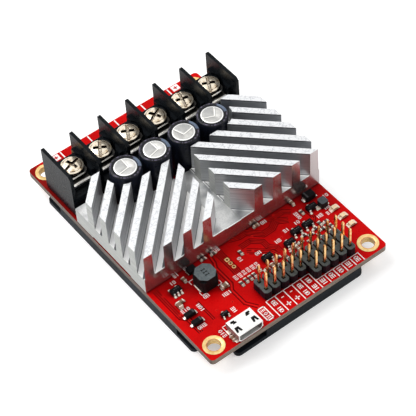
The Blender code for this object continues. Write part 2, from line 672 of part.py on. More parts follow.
def terminal_block(look):
    """One moulding: barriers between bays, with cheeks round each screw."""
    mesh = box("terminal_block", TERMINAL_LENGTH, TERMINAL_DEPTH, TERMINAL_HEIGHT)
    middle = (TERMINAL_FRONT + TERMINAL_BACK) / 2
    block = place("terminal_block", mesh, look, (0.0, middle, SEAT))
    nose = box("nose", 2 * TERMINAL_LENGTH, 4 * BARRIER_NOSE, 4 * BARRIER_NOSE)
    cut(block, nose,
        (0.0, TERMINAL_FRONT + BARRIER_NOSE / 2, SEAT + TERMINAL_HEIGHT - BARRIER_NOSE / 2),
        (math.radians(45.0), 0.0, 0.0))
    seat_level = SEAT + PLATE_SEAT_HEIGHT
    for way in range(TERMINAL_WAYS):
        x = (way - (TERMINAL_WAYS - 1) / 2) * TERMINAL_PITCH
        tall = 2 * TERMINAL_HEIGHT
        deep = 2 * TERMINAL_DEPTH
        cut(block, box("bay", BAY_WIDTH, deep, tall), (x, middle, seat_level + CHEEK_HEIGHT))
        slot = BAY_WIDTH - 2 * CHEEK_WIDTH
        cut(block, box("slot", slot, deep, tall), (x, middle, seat_level))
        cut(block, rod("well", WELL_RADIUS, CHEEK_HEIGHT + WELL_RISE), (x, SCREW_LINE, seat_level))
        cut(block, box("front_ledge", BAY_WIDTH, 2 * FRONT_LEDGE_DEPTH, tall),
            (x, TERMINAL_FRONT, seat_level - FRONT_LEDGE_DROP))
        cut(block, box("rear_ledge", BAY_WIDTH, 2 * REAR_LEDGE_DEPTH, tall),
            (x, TERMINAL_BACK, seat_level))
        hole_depth = PLATE_SEAT_HEIGHT - SEAT_GAP
        cut(block, rod("screw_hole", SCREW_SHANK_RADIUS + SEAT_GAP, tall, SMALL_ROUND_STEPS),
            (x, SCREW_LINE, seat_level - hole_depth))


def screw_mesh(name, head_radius, head_height, shank_radius, length, slot_width, slot_depth, steps):
    """A pan head with a slot and cross, on a plain shank; the head's underside is at z = 0."""
    crown = head_height * HEAD_CROWN_SHARE
    chamfer = shank_radius * SHANK_CHAMFER_SHARE
    profile = [(0.0, head_height)]
    profile.extend(reversed(arc((head_radius - crown, head_height - crown), crown, 0.0, 90.0, 3)))
    profile.extend([
        (head_radius, 0.0), (shank_radius, 0.0), (shank_radius, -length + chamfer),
        (shank_radius - chamfer, -length), (0.0, -length)])
    item = turned(name, profile, steps)
    floor = head_height - slot_depth
    cut(item, box("slot", 3 * head_radius, slot_width, head_height), (0.0, 0.0, floor))
    cut(item, box("cross", slot_width, head_radius * CROSS_LENGTH_SHARE, head_height),
        (0.0, 0.0, floor))
    result = finished_mesh(item)
    shade(result)
    return result


def clamp_mesh(hole):
    """A square clamp washer with the lock ring that is staked to it under the head."""
    square = rounded_rectangle(CLAMP_WIDTH, CLAMP_WIDTH, CLAMP_CORNER_RADIUS)
    body = place("terminal_clamp", prism("terminal_clamp", [square, hole], CLAMP_THICKNESS), None)
    sunk = CLAMP_THICKNESS / 2
    lock_ring = prism("lock_ring", [ring((0.0, 0.0), LOCK_RING_RADIUS), hole], sunk + LOCK_RING_HEIGHT)
    join(body, lock_ring, (0.0, 0.0, CLAMP_THICKNESS - sunk))
    return finished_mesh(body)


def terminal_hardware(screw_look, clamp_look, plate_look):
    screw = screw_mesh(
        "terminal_screw", SCREW_HEAD_RADIUS, SCREW_HEAD_HEIGHT, SCREW_SHANK_RADIUS,
        SCREW_LENGTH, SCREW_SLOT_WIDTH, SCREW_SLOT_DEPTH, ROUND_STEPS)
    hole = ring((0.0, 0.0), SCREW_SHANK_RADIUS + SEAT_GAP, SMALL_ROUND_STEPS)
    clamp = clamp_mesh(hole)
    front = TERMINAL_FRONT + FRONT_LEDGE_DEPTH + CHIP_GAP
    back = SCREW_LINE + PLATE_REAR_REACH
    plate_width = BAY_WIDTH - 2 * CHEEK_WIDTH - 2 * SEAT_GAP
    half = plate_width / 2
    outline = [
        (-half, front - SCREW_LINE), (half, front - SCREW_LINE),
        (half, back - SCREW_LINE), (-half, back - SCREW_LINE)]
    plate = prism("terminal_plate", [outline, hole], PLATE_THICKNESS)
    for way in range(TERMINAL_WAYS):
        number = way + 1
        x = (way - (TERMINAL_WAYS - 1) / 2) * TERMINAL_PITCH
        turn = math.radians(30.0 + 47.0 * way)
        place(f"terminal_screw_{number}", screw, screw_look, (x, SCREW_LINE, HEAD_BOTTOM), turn)
        place(f"terminal_clamp_{number}", clamp, clamp_look, (x, SCREW_LINE, CLAMP_BOTTOM))
        place(f"terminal_plate_{number}", plate, plate_look, (x, SCREW_LINE, PLATE_BOTTOM))


def assembly_screws(look):
    head_top = ASSEMBLY_HEAD_HEIGHT + SEAT_GAP
    length = SEAT + ASSEMBLY_BITE - head_top
    mesh = screw_mesh(
        "assembly_screw", ASSEMBLY_HEAD_RADIUS, ASSEMBLY_HEAD_HEIGHT, ASSEMBLY_SHANK_RADIUS,
        length, ASSEMBLY_SLOT_WIDTH, ASSEMBLY_SLOT_DEPTH, SMALL_ROUND_STEPS)
    for number, (x, y) in enumerate(assembly_points(), 1):
        item = place(f"assembly_screw_{number}", mesh, look, (x, y, head_top))
        item.rotation_euler = (math.pi, 0.0, 0.0)


def cell_corners(rows):
    """Square posts on the corners of the cells; cut away, they chamfer every cell."""
    work = bmesh.new()
    for column in range(HEADER_COLUMNS + 1):
        for row in range(rows + 1):
            corner = Matrix.Translation((column * HEADER_PITCH, row * HEADER_PITCH, 0.0))
            bmesh.ops.create_cone(
                work, cap_ends=True, segments=4, radius1=HEADER_CHAMFER, radius2=HEADER_CHAMFER,
                depth=4 * HEADER_HEIGHT, matrix=corner)
    return mesh_from("cell_corners", work)


def pins(rows):
    """Square pins with pointed tips, one in the middle of each cell, from inside the housing."""
    foot = HEADER_HEIGHT / 2
    straight = PIN_HEIGHT - PIN_TIP - foot
    size = Matrix.Diagonal((PIN_WIDTH, PIN_WIDTH, straight, 1.0))
    work = bmesh.new()
    for column in range(HEADER_COLUMNS):
        for row in range(rows):
            x = (column + 0.5) * HEADER_PITCH
            y = (row + 0.5) * HEADER_PITCH
            middle = Matrix.Translation((x, y, foot + straight / 2))
            made = bmesh.ops.create_cube(work, size=1.0, matrix=middle @ size)
            faces = {face for vertex in made["verts"] for face in vertex.link_faces}
            top = max(faces, key=lambda face: face.calc_center_median().z)
            tip = bmesh.ops.extrude_discrete_faces(work, faces=[top])["faces"][0]
            for vertex in tip.verts:
                vertex.co.x = x + (vertex.co.x - x) * PIN_TIP_SHARE
                vertex.co.y = y + (vertex.co.y - y) * PIN_TIP_SHARE
                vertex.co.z += PIN_TIP
    return mesh_from("pins", work)


def pin_header(name, rows, left, look):
    """Housing and pins are one node, because the object would pass its limit on nodes."""
    width = HEADER_COLUMNS * HEADER_PITCH
    length = rows * HEADER_PITCH
    front = HEADER_BACK_LINE - length
    mesh = box(name, width - CHIP_GAP, length, HEADER_HEIGHT)
    housing = place(name, mesh, look, (left + width / 2, front + length / 2, CHIP_SEAT))
    cut(housing, cell_corners(rows), (left, front, CHIP_SEAT))
    join(housing, pins(rows), (left, front, CHIP_SEAT))


def data_port(shell_look, tongue_look):
    """A folded shell open to the front, with four spring windows and a tongue inside."""
    half = PORT_WIDTH / 2
    section = [
        (-half, PORT_CHAMFER), (-half + PORT_CHAMFER, 0.0), (half - PORT_CHAMFER, 0.0),
        (half, PORT_CHAMFER), (half, PORT_HEIGHT), (-half, PORT_HEIGHT)]
    mesh = prism("data_port_shell", [section], PORT_DEPTH)
    shell = place("data_port_shell", mesh, shell_look, (PORT_LINE, PORT_BACK, CHIP_SEAT))
    shell.rotation_euler = (math.pi / 2, 0.0, 0.0)
    inner_half = half - PORT_WALL
    # the folded corners keep the wall's thickness
    fold = PORT_CHAMFER + PORT_WALL * math.tan(math.radians(22.5))
    inner = [
        (-inner_half, fold), (-half + fold, PORT_WALL), (half - fold, PORT_WALL), (inner_half, fold),
        (inner_half, PORT_HEIGHT - PORT_WALL), (-inner_half, PORT_HEIGHT - PORT_WALL)]
    cut(shell, prism("mouth", [inner], PORT_DEPTH),
        (PORT_LINE, PORT_BACK - PORT_WALL, CHIP_SEAT), (math.pi / 2, 0.0, 0.0))
    window = box("window", PORT_WINDOW_WIDTH, PORT_WINDOW_LENGTH, 4 * PORT_WALL)
    notch = box("notch", PORT_NOTCH_WIDTH, PORT_NOTCH_LENGTH, 4 * PORT_WALL)
    level = CHIP_SEAT + PORT_HEIGHT - 2 * PORT_WALL
    for sign in (-1, 1):
        cut(shell, window, (
            PORT_LINE + sign * PORT_WINDOW_SPACING / 2,
            PORT_BACK - PORT_DEPTH + PORT_WINDOW_FROM_FRONT, level))
        cut(shell, notch, (
            PORT_LINE + sign * PORT_NOTCH_SPACING / 2, PORT_BACK - PORT_NOTCH_FROM_BACK, level))
    root_width = PORT_WIDTH - 2 * PORT_WALL - 2 * CHIP_GAP - 2 * PORT_CHAMFER
    root_height = PORT_HEIGHT - 2 * PORT_WALL - 2 * CHIP_GAP
    root_back = PORT_BACK - PORT_WALL - CHIP_GAP
    root_bottom = CHIP_SEAT + PORT_WALL + CHIP_GAP
    root = box("data_port_tongue", root_width, TONGUE_ROOT_DEPTH, root_height)
    tongue = place("data_port_tongue", root, tongue_look,
                   (PORT_LINE, root_back - TONGUE_ROOT_DEPTH / 2, root_bottom))
    blade_length = PORT_DEPTH - PORT_WALL - CHIP_GAP - TONGUE_SETBACK
    blade = box("blade", TONGUE_WIDTH, blade_length, TONGUE_THICKNESS)
    blade_bottom = root_bottom + root_height - TONGUE_THICKNESS - TONGUE_DROP
    join(tongue, blade, (PORT_LINE, root_back - blade_length / 2 - CHIP_GAP, blade_bottom))


def power_inductor(look):
    """An eight-sided cap on a squarer body, which it overlaps by half its thickness."""
    x = BOARD_LEFT + INDUCTOR_FROM_LEFT
    y = SINK_FRONT - INDUCTOR_TO_HEATSINK
    body = prism(
        "power_inductor",
        [chamfered_rectangle(INDUCTOR_BODY_WIDTH, INDUCTOR_BODY_WIDTH, INDUCTOR_BODY_CHAMFER)],
        INDUCTOR_HEIGHT - INDUCTOR_CAP)
    item = place("power_inductor", body, look, (x, y, CHIP_SEAT))
    cap_height = INDUCTOR_CAP * 3 / 2
    cap = prism("cap", [chamfered_rectangle(INDUCTOR_WIDTH, INDUCTOR_WIDTH, INDUCTOR_CHAMFER)],
                cap_height)
    join(item, cap, (x, y, CHIP_SEAT + INDUCTOR_HEIGHT - cap_height))


def filter_inductor(look):
    mesh = prism("filter_inductor",
                 [rounded_rectangle(FILTER_WIDTH, FILTER_WIDTH, FILTER_CORNER)], FILTER_HEIGHT)
    item = place("filter_inductor", mesh, look, (
        BOARD_RIGHT - FILTER_FROM_RIGHT, SINK_FRONT - FILTER_TO_HEATSINK, CHIP_SEAT))
    rounding = item.modifiers.new("rounding", "BEVEL")
    rounding.width = FILTER_EDGE
    rounding.segments = 1
    rounding.limit_method = "ANGLE"
    rounding.angle_limit = math.radians(60.0)


def diode_mesh(name, length, width, height):
    body = place(name, box(name, length, width, height, CHIP_TAPER), None)
    tab = box("tab", length + 2 * DIODE_TAB_REACH, width * DIODE_TAB_SHARE, TAB_THICKNESS)
    join(body, tab, (0.0, 0.0, 0.0))
    return finished_mesh(body)


def diodes(look):
    small = diode_mesh("diode", DIODE_LENGTH, DIODE_WIDTH, DIODE_HEIGHT)
    for index in range(2):
        place(f"diode_{index + 1}", small, look, (
            BOARD_LEFT + DIODE_FROM_LEFT,
            BOARD_FRONT + DIODE_FROM_FRONT + index * DIODE_PITCH, CHIP_SEAT))
    large = diode_mesh("large_diode", LARGE_DIODE_LENGTH, LARGE_DIODE_WIDTH, LARGE_DIODE_HEIGHT)
    place("diode_3", large, look, (
        BOARD_RIGHT - LARGE_DIODE_FROM_RIGHT, SINK_FRONT - LARGE_DIODE_TO_HEATSINK, CHIP_SEAT))


def leg_mesh():
    """A gull-wing leg along +X, from inside the body to its foot."""
    root = -CHIP_WIDTH / 4
    rise = LEG_ROOT_HEIGHT
    thick = LEG_THICKNESS
    profile = [
        (root, rise), (LEG_KNEE, rise), (LEG_SHIN, thick), (LEG_REACH, thick), (LEG_REACH, 0.0),
        (LEG_SHIN - thick, 0.0), (LEG_KNEE - thick, rise - thick), (root, rise - thick)]
    return prism("leg", [profile], LEG_WIDTH)


def chip_mesh(name, front_legs, back_legs):
    """A moulded body with legs along its two long sides, given as places in leg pitches."""
    standoff = LEG_THICKNESS / 2
    raised = bpy.data.meshes.new(name)
    work = bmesh.new()
    work.from_mesh(box(name, CHIP_LENGTH, CHIP_WIDTH, CHIP_HEIGHT - standoff, CHIP_TAPER))
    bmesh.ops.translate(work, verts=work.verts, vec=(0.0, 0.0, standoff))
    work.to_mesh(raised)
    work.free()
    body = place(name, raised, None)
    leg = leg_mesh()
    for side, places in ((-1, front_legs), (1, back_legs)):
        for step in places:
            x = step * LEG_PITCH - side * LEG_WIDTH / 2
            y = side * (CHIP_WIDTH / 2 - CHIP_TAPER / 2)
            join(body, leg, (x, y, 0.0), (math.pi / 2, 0.0, side * math.pi / 2))
    return finished_mesh(body)


def small_chips(look):
    five_legs = chip_mesh("regulator_chip", (-1, 0, 1), (-1, 1))
    three_legs = chip_mesh("switch_chip", (-1, 1), (0,))
    place("regulator_chip", five_legs, look, (
        BOARD_LEFT + REGULATOR_FROM_LEFT, SINK_FRONT - REGULATOR_TO_HEATSINK, CHIP_SEAT))
    place("logic_chip", three_legs, look, (
        BOARD_RIGHT - LOGIC_FROM_RIGHT, SINK_FRONT - LOGIC_TO_HEATSINK, CHIP_SEAT))
    port_chip = place("port_chip", three_legs, look, (
        PORT_LINE - PORT_CHIP_SHIFT, PORT_BACK + PORT_CHIP_TO_PORT, CHIP_SEAT))
    port_chip.scale = (SMALL_CHIP_SCALE, SMALL_CHIP_SCALE, SMALL_CHIP_SCALE)
    places = zip(SWITCH_FROM_LEFT, SWITCH_TO_HEADER)
    for number, (from_left, to_header) in enumerate(places, 1):
        place(f"switch_chip_{number}", three_legs, look, (
            BOARD_LEFT + from_left, HEADER_BACK_LINE + to_header, CHIP_SEAT))
    driver = box("driver_chip", DRIVER_WIDTH, DRIVER_LENGTH, DRIVER_HEIGHT)
    place("driver_chip", driver, look, (
        BOARD_LEFT + DRIVER_FROM_LEFT, SINK_FRONT - DRIVER_TO_HEATSINK, CHIP_SEAT))


def light_diodes(look):
    base = box("status_light", LED_WIDTH, LED_LENGTH, LED_BASE_HEIGHT)
    body = place("status_light", base, None)
    lens = box("lens", LED_WIDTH - 2 * CHIP_GAP, LED_LENGTH * LED_LENS_SHARE,
               LED_BASE_HEIGHT / 2 + LED_LENS_HEIGHT, CHIP_TAPER)
    join(body, lens, (0.0, 0.0, LED_BASE_HEIGHT / 2))
    mesh = finished_mesh(body)
    for index in range(LED_COUNT):
        place(f"status_light_{index + 1}", mesh, look, (
            BOARD_RIGHT - LED_FROM_RIGHT,
            BOARD_FRONT + LED_FROM_FRONT + index * LED_PITCH, CHIP_SEAT),
            math.pi / 2)


clear_scene()
PARTS = new_collection("dc_motor_driver")
CUTTERS = new_collection("cutters")

solder_mask = material("solder_mask", (0.62, 0.01, 0.01), 0.35)
tray_black = material("tray_black", (0.035, 0.04, 0.045), 0.45)
aluminium = material("aluminium", (0.78, 0.79, 0.80), 0.3, 1.0)
black_plastic = material("black_plastic", (0.02, 0.022, 0.025), 0.4)
chip_black = material("chip_black", (0.015, 0.015, 0.017), 0.5)
nickel = material("nickel", (0.8, 0.76, 0.68), 0.25, 1.0)
tin = material("tin", (0.82, 0.81, 0.78), 0.3, 1.0)
can_sleeve = material("can_sleeve", (0.03, 0.03, 0.035), 0.35)
header_black = material("header_black", (0.06, 0.065, 0.065), 0.5)
ferrite = material("ferrite", (0.2, 0.23, 0.24), 0.6)
lens_cream = material("lens_cream", (0.8, 0.7, 0.5), 0.3)
pad_grey = material("pad_grey", (0.35, 0.38, 0.42), 0.8)

base_tray(tray_black)
circuit_board(solder_mask)
heatsink(aluminium)
thermal_parts(pad_grey, chip_black)
controller_chip(chip_black)
assembly_screws(tin)
capacitors(can_sleeve)
terminal_block(black_plastic)
terminal_hardware(nickel, tin, tin)
pin_header("header_two_row", SHORT_HEADER_ROWS, HEADER_LEFT, header_black)
pin_header("header_three_row", LONG_HEADER_ROWS,
           HEADER_LEFT + HEADER_COLUMNS * HEADER_PITCH, header_black)
data_port(tin, black_plastic)
power_inductor(ferrite)
filter_inductor(ferrite)
diodes(chip_black)
small_chips(chip_black)
light_diodes(lens_cream)
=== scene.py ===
import math

import bmesh
import bpy
from mathutils import Matrix, Vector


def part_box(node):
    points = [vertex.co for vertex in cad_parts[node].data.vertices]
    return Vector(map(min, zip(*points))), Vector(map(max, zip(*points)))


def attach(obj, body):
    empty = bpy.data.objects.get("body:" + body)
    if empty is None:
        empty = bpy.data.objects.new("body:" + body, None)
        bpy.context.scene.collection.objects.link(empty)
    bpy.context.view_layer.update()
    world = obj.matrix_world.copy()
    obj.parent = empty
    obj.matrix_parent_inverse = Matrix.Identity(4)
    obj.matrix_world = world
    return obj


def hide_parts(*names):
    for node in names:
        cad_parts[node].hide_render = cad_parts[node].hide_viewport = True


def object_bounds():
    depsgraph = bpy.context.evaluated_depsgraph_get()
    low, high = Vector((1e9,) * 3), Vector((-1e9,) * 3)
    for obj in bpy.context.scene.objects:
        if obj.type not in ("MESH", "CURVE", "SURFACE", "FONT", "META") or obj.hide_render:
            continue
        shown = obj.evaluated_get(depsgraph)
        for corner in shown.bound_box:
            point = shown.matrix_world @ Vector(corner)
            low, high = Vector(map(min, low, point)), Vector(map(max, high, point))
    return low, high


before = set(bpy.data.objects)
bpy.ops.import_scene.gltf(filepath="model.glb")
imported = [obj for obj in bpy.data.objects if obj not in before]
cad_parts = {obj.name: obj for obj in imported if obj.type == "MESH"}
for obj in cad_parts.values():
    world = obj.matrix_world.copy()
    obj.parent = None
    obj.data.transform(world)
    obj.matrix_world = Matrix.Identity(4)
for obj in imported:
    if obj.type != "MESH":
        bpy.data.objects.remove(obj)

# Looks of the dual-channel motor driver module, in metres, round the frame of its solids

MM = 0.001
SIDES = (-1, 1)
WHITE = (1.0, 1.0, 1.0, 1.0)
RED_SHEEN = (1.0, 0.15, 0.12, 1.0)
DULL_IOR = 1.16
CAD_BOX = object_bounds()

# Levels and edges of the board, from its solid
LAND_THICKNESS = 0.07 * MM
BOARD_LOW, BOARD_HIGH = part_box("circuit_board")
BOARD_TOP = BOARD_HIGH.z - LAND_THICKNESS
BOARD_LEFT = BOARD_LOW.x
BOARD_FRONT = BOARD_LOW.y
PAD_RISE = 0.03 * MM
INK_RISE = 0.02 * MM
ROUND_STEPS = 64
SMOOTH_ANGLE = 35.0
SOFT_ANGLE = 30.0


def at(x, y, z=0.0):
    """A point of the board: millimetres from its left and front edges, and above its top face."""
    return Vector((BOARD_LEFT + x * MM, BOARD_FRONT + y * MM, BOARD_TOP + z * MM))


def paint(value):
    """A display colour of three values, 0 to 255, as linear ones; anything else as it is."""
    if not isinstance(value, tuple) or len(value) != 3:
        return value
    shares = [level / 255 for level in value]
    return (*(share / 12.92 if share <= 0.04045 else ((share + 0.055) / 1.055) ** 2.4
              for share in shares), 1.0)


# Material nodes

class Nodes:
    """Short calls for the nodes of one tree; sizes and distances are in millimetres."""

    def __init__(self, tree):
        self.tree = tree

    def feed(self, socket, value):
        if isinstance(value, bpy.types.NodeSocket):
            self.tree.links.new(value, socket)
        else:
            socket.default_value = value

    def node(self, kind, inputs=(), **settings):
        made = self.tree.nodes.new(kind)
        for name, value in settings.items():
            setattr(made, name, value)
        for name, value in dict(inputs).items():
            self.feed(made.inputs[name], value)
        return made

    def fade(self, value, low, high, start=0.0, end=1.0):
        """The value's range from low to high, mapped to start and end and held there."""
        made = self.node("ShaderNodeMapRange", {
            "Value": value, "From Min": low, "From Max": high, "To Min": start, "To Max": end})
        return made.outputs["Result"]

    def sums(self, operation, first, second=0.0):
        return self.node("ShaderNodeMath", {0: first, 1: second}, operation=operation).outputs[0]

    def vectors(self, operation, first, second=(0.0, 0.0, 0.0), output="Vector"):
        made = self.node("ShaderNodeVectorMath", {0: first, 1: second}, operation=operation)
        return made.outputs[output]

    def times(self, first, second):
        return self.sums("MULTIPLY", first, second)

    def plus(self, first, second):
        return self.sums("ADD", first, second)

    def size(self, value):
        return self.sums("ABSOLUTE", value)

    def near(self, value, middle, inner, outer):
        """1 within the inner distance of the middle, falling to 0 at the outer one."""
        return self.fade(self.size(self.sums("SUBTRACT", value, middle * MM)),
                         inner * MM, outer * MM, 1.0, 0.0)

    def white_share(self):
        """1 for rays from the camera, off metal and through glass, which see plain white."""
        path = self.node("ShaderNodeLightPath").outputs
        share = self.sums("MAXIMUM", path["Is Camera Ray"], path["Is Glossy Ray"])
        return self.sums("MAXIMUM", share, path["Is Transmission Ray"])


class Look(Nodes):
    """A Principled material, whose colours are given as display values."""

    def __init__(self, name, base, roughness, metallic=0.0):
        self.material = bpy.data.materials.new(name)
        self.material.use_nodes = True
        super().__init__(self.material.node_tree)
        self.shader = self.tree.nodes["Principled BSDF"]
        self.set("Base Color", paint(base))
        self.set("Roughness", roughness)
        self.set("Metallic", metallic)
        self.place = self.node("ShaderNodeTexCoord").outputs["Object"]

    def set(self, name, value):
        self.feed(self.shader.inputs[name], value)

    def stretched(self, detail, x, y, z):
        """Noise on the object's coordinates, scaled along each axis."""
        return self.noise(None, detail, self.vectors("MULTIPLY", self.place, (x, y, z)))

    def noise(self, size, detail=3.0, vector=None):
        """Noise with blobs of about the size, or on its own vector at a scale of one."""
        made = self.node("ShaderNodeTexNoise", {
            "Vector": vector or self.place, "Scale": 1.0 if vector else 1.0 / (size * MM),
            "Detail": detail})
        return made.outputs["Fac"]

    def patch(self, size, low, high, detail=3.0, start=0.0, end=1.0):
        return self.fade(self.noise(size, detail), low, high, start, end)

    def blend(self, share, first, second):
        return self.node("ShaderNodeMix", {"Factor": share, 6: paint(first), 7: paint(second)},
                         data_type="RGBA").outputs[2]

    def tone(self, size, low, high, first, second, detail=3.0):
        """Two colours, mixed in patches of the size."""
        return self.blend(self.patch(size, low, high, detail), first, second)

    def split(self, vector):
        return self.node("ShaderNodeSeparateXYZ", {"Vector": vector}).outputs

    def normal(self):
        return self.split(self.node("ShaderNodeNewGeometry").outputs["True Normal"])

    def upward(self, low, high):
        return self.fade(self.normal()[2], low, high)

    def radius(self, axes=(1.0, 1.0, 0.0)):
        """Distance from the object's own middle, along the axes."""
        return self.vectors("LENGTH", self.vectors("MULTIPLY", self.place, axes), output="Value")

    def open_share(self, reach, low, high):
        """1 in the open, falling to 0 in corners that are closed within the reach; the materials use it
        to paint shade into corners.
        """
        made = self.node("ShaderNodeAmbientOcclusion", {"Distance": reach * MM}, samples=4)
        return self.fade(made.outputs["AO"], low, high)

    def relief(self, height, depth):
        """Bump from a height of 0 to 1, as deep as given in metres."""
        made = self.node("ShaderNodeBump", {"Height": height, "Distance": depth, "Strength": 1.0})
        self.set("Normal", made.outputs["Normal"])

    def finish(self, base, rough=None, grain=None, **sockets):
        """The colour, a roughness of (size, low, high), a relief of (size, depth, detail)."""
        self.set("Base Color", base)
        if rough:
            self.set("Roughness", self.patch(rough[0], 0.3, 0.7, 3.0, *rough[1:]))
        if grain:
            size, depth, *detail = grain
            self.relief(self.noise(size, *detail), depth * MM)
        for name, value in sockets.items():
            self.set(name.replace("_", " "), value)
        return self.material


def solder_mask():
    look = Look("red_mask", (206, 8, 12), 0.34)
    red = look.tone(9, 0.35, 0.65, (212, 8, 10), (186, 6, 10))
    red = look.blend(look.times(look.patch(0.5, 0.3, 0.7), 0.3), red, (218, 20, 14))
    # painted shade: the board darkens close to tall parts and beside small ones
    red = look.blend(look.open_share(9, 0.35, 0.8), (128, 3, 8), red)
    # painted reflection: the strip left of the terminal block is darkened to mirror the block's dark
    # end
    place = look.split(look.place)
    strip = look.times(look.fade(place[0], BOARD_LEFT + 4 * MM, BOARD_LEFT + 1.5 * MM),
                       look.fade(place[1], BOARD_FRONT + 50 * MM, BOARD_FRONT + 56 * MM))
    red = look.blend(look.times(strip, 0.75), red, (112, 18, 14))
    # painted shade: a narrow dark band beside small parts
    red = look.blend(look.open_share(0.9, 0.35, 0.8), (58, 2, 6), red)
    # the cut edge shows the laminate, in thin layers
    layers = look.stretched(2.0, 300.0, 300.0, 9000.0)
    laminate = look.blend(look.fade(layers, 0.35, 0.65), (112, 98, 86), (172, 158, 144))
    normal = look.normal()
    # painted shade: the cut edge that faces left is darker
    laminate = look.blend(look.fade(normal[0], -0.6, -0.9), laminate, (92, 80, 70))
    side = look.fade(look.size(normal[2]), 0.4, 0.6)
    return look.finish(look.blend(side, laminate, red), (1.2, 0.26, 0.38), (0.7, 0.012),
                       IOR=1.22, Specular_Tint=RED_SHEEN)


def raised_mask():
    """Mask over a copper track, which shows a little lighter."""
    look = Look("raised_mask", (220, 30, 22), 0.34)
    return look.finish(look.blend(look.noise(1.5), (204, 10, 10), (226, 30, 24)),
                       Specular_IOR_Level=0.16, Specular_Tint=RED_SHEEN)


def sunk_mask():
    """Mask in the clearance beside a copper track, where the board is dark."""
    look = Look("sunk_mask", (84, 2, 5), 0.4)
    return look.finish(look.blend(look.noise(1.5), (62, 1, 4), (104, 3, 7)),
                       Specular_IOR_Level=0.1, Specular_Tint=RED_SHEEN)


def white_ink():
    look = Look("white_ink", (250, 240, 238), 0.55)
    worn = look.patch(0.25, 0.45, 0.8, end=0.4)
    return look.finish(look.blend(worn, (255, 250, 248), (244, 186, 184)), None, (0.12, 0.006))


def gold(name, base, deep, dark, roughness):
    look = Look(name, base, roughness, 1.0)
    plate = look.tone(0.9, 0.35, 0.7, base, deep)
    # painted shade: the plate darkens to the dark colour in hollows, such as a hole's barrel and the
    # feet of the pins
    return look.finish(look.blend(look.open_share(2.2, 0.45, 0.95), dark, plate),
                       (0.3, roughness, roughness + 0.1), (0.4, 0.004))


def solder():
    look = Look("bright_solder", (250, 242, 230), 0.22, 0.3)
    return look.finish(look.tone(0.35, 0.4, 0.75, (255, 248, 236), (240, 208, 178)),
                       (0.2, 0.16, 0.38), (0.18, 0.02))


def tray_plastic():
    look = Look("tray_plastic", (22, 27, 32), 0.5)
    return look.finish(look.tone(6, 0.3, 0.7, (16, 21, 26), (26, 32, 38)),
                       (0.4, 0.42, 0.58), (0.15, 0.012), IOR=DULL_IOR)


def milled_aluminium():
    """Tops of the fins are bead blasted, walls are milled level and floors are mottled; walls and
    floors also carry painted shade and painted highlights.
    """
    look = Look("milled_aluminium", (214, 216, 217), 0.3, 1.0)
    normal = look.normal()
    place = look.split(look.place)
    height = place[2]
    upward = look.fade(normal[2], 0.75, 0.9)
    top = look.times(upward, look.fade(height, SINK_TOP - 1.2 * MM, SINK_TOP - 0.8 * MM))
    floor = look.sums("SUBTRACT", upward, top)
    front = look.fade(look.times(normal[1], -1.0), 0.9, 0.97)
    outer = look.fade(look.size(normal[0]), 0.9, 0.97)
    # cutter marks run level along the walls
    marks = look.stretched(2.0, 70.0, 70.0, 5200.0)
    wall = aluminium_walls(look, normal, place, marks, outer)
    floors = aluminium_floors(look, place)
    veins = look.size(look.sums("SUBTRACT", look.noise(1.3, 6.0), 0.5))
    crest = look.blend(look.fade(veins, 0.0, 0.035), (184, 186, 190), (220, 221, 222))
    shade = look.blend(floor, look.blend(front, wall, (188, 176, 176)), floors)
    look.set("Base Color", look.blend(top, shade, crest))
    rough_wall = look.blend(front, look.fade(marks, 0.3, 0.7, 0.34, 0.46), (0.22, 0.22, 0.22, 1.0))
    flat = look.blend(floor, rough_wall, look.patch(2.2, 0.3, 0.7, 2.0, 0.36, 0.48))
    look.set("Roughness", look.blend(top, flat, (0.62, 0.62, 0.62, 1.0)))
    matt = look.sums("SUBTRACT", 1.0, look.sums("MAXIMUM", top, look.times(front, 0.5)))
    look.set("Metallic", look.sums("SUBTRACT", look.fade(matt, 0.0, 1.0, 1.0, 0.78),
                                   look.times(outer, 0.45)))
    grain = look.blend(upward, look.fade(marks, 0.2, 0.8, 0.4, 0.6), look.noise(0.2, 4.0))
    look.relief(grain, look.fade(front, 0.0, 1.0, 0.03 * MM, 0.001 * MM))
    return look.material


def aluminium_walls(look, normal, place, marks, outer):
    """Streaked walls; painted shade makes those turned to the front left darker, most of all near the
    crest and away from the centre channel.
    """
    streaks = look.fade(marks, 0.3, 0.7)
    wall = look.blend(streaks, (178, 180, 184), (248, 249, 250))
    turned = look.fade(look.plus(normal[0], normal[1]), -1.15, -1.3)
    rise = look.fade(place[2], SINK_BOTTOM + 2 * MM, SINK_TOP - 3 * MM)
    beside = look.fade(place[0], 1 * MM, 8 * MM)
    grey = look.blend(look.times(rise, beside), (212, 214, 216), (176, 178, 182))
    grey = look.blend(look.times(streaks, 0.45), grey, (128, 130, 134))
    wall = look.blend(turned, wall, grey)
    # a ragged dark line where each wall meets the blasted crest, and painted shade along its foot
    ragged = look.plus(place[2], look.times(look.noise(0.45), 0.4 * MM))
    line = look.fade(ragged, SINK_TOP - 0.16 * MM, SINK_TOP - 0.1 * MM)
    root = SINK_BOTTOM + GROOVE_FLOOR
    foot = look.fade(place[2], root + 0.34 * MM, root + 0.24 * MM)
    line = look.sums("MAXIMUM", look.times(line, 0.8), look.times(foot, 0.7))
    wall = look.blend(line, wall, (60, 60, 64))
    return look.blend(outer, wall, look.blend(streaks, (150, 152, 150), (190, 192, 188)))


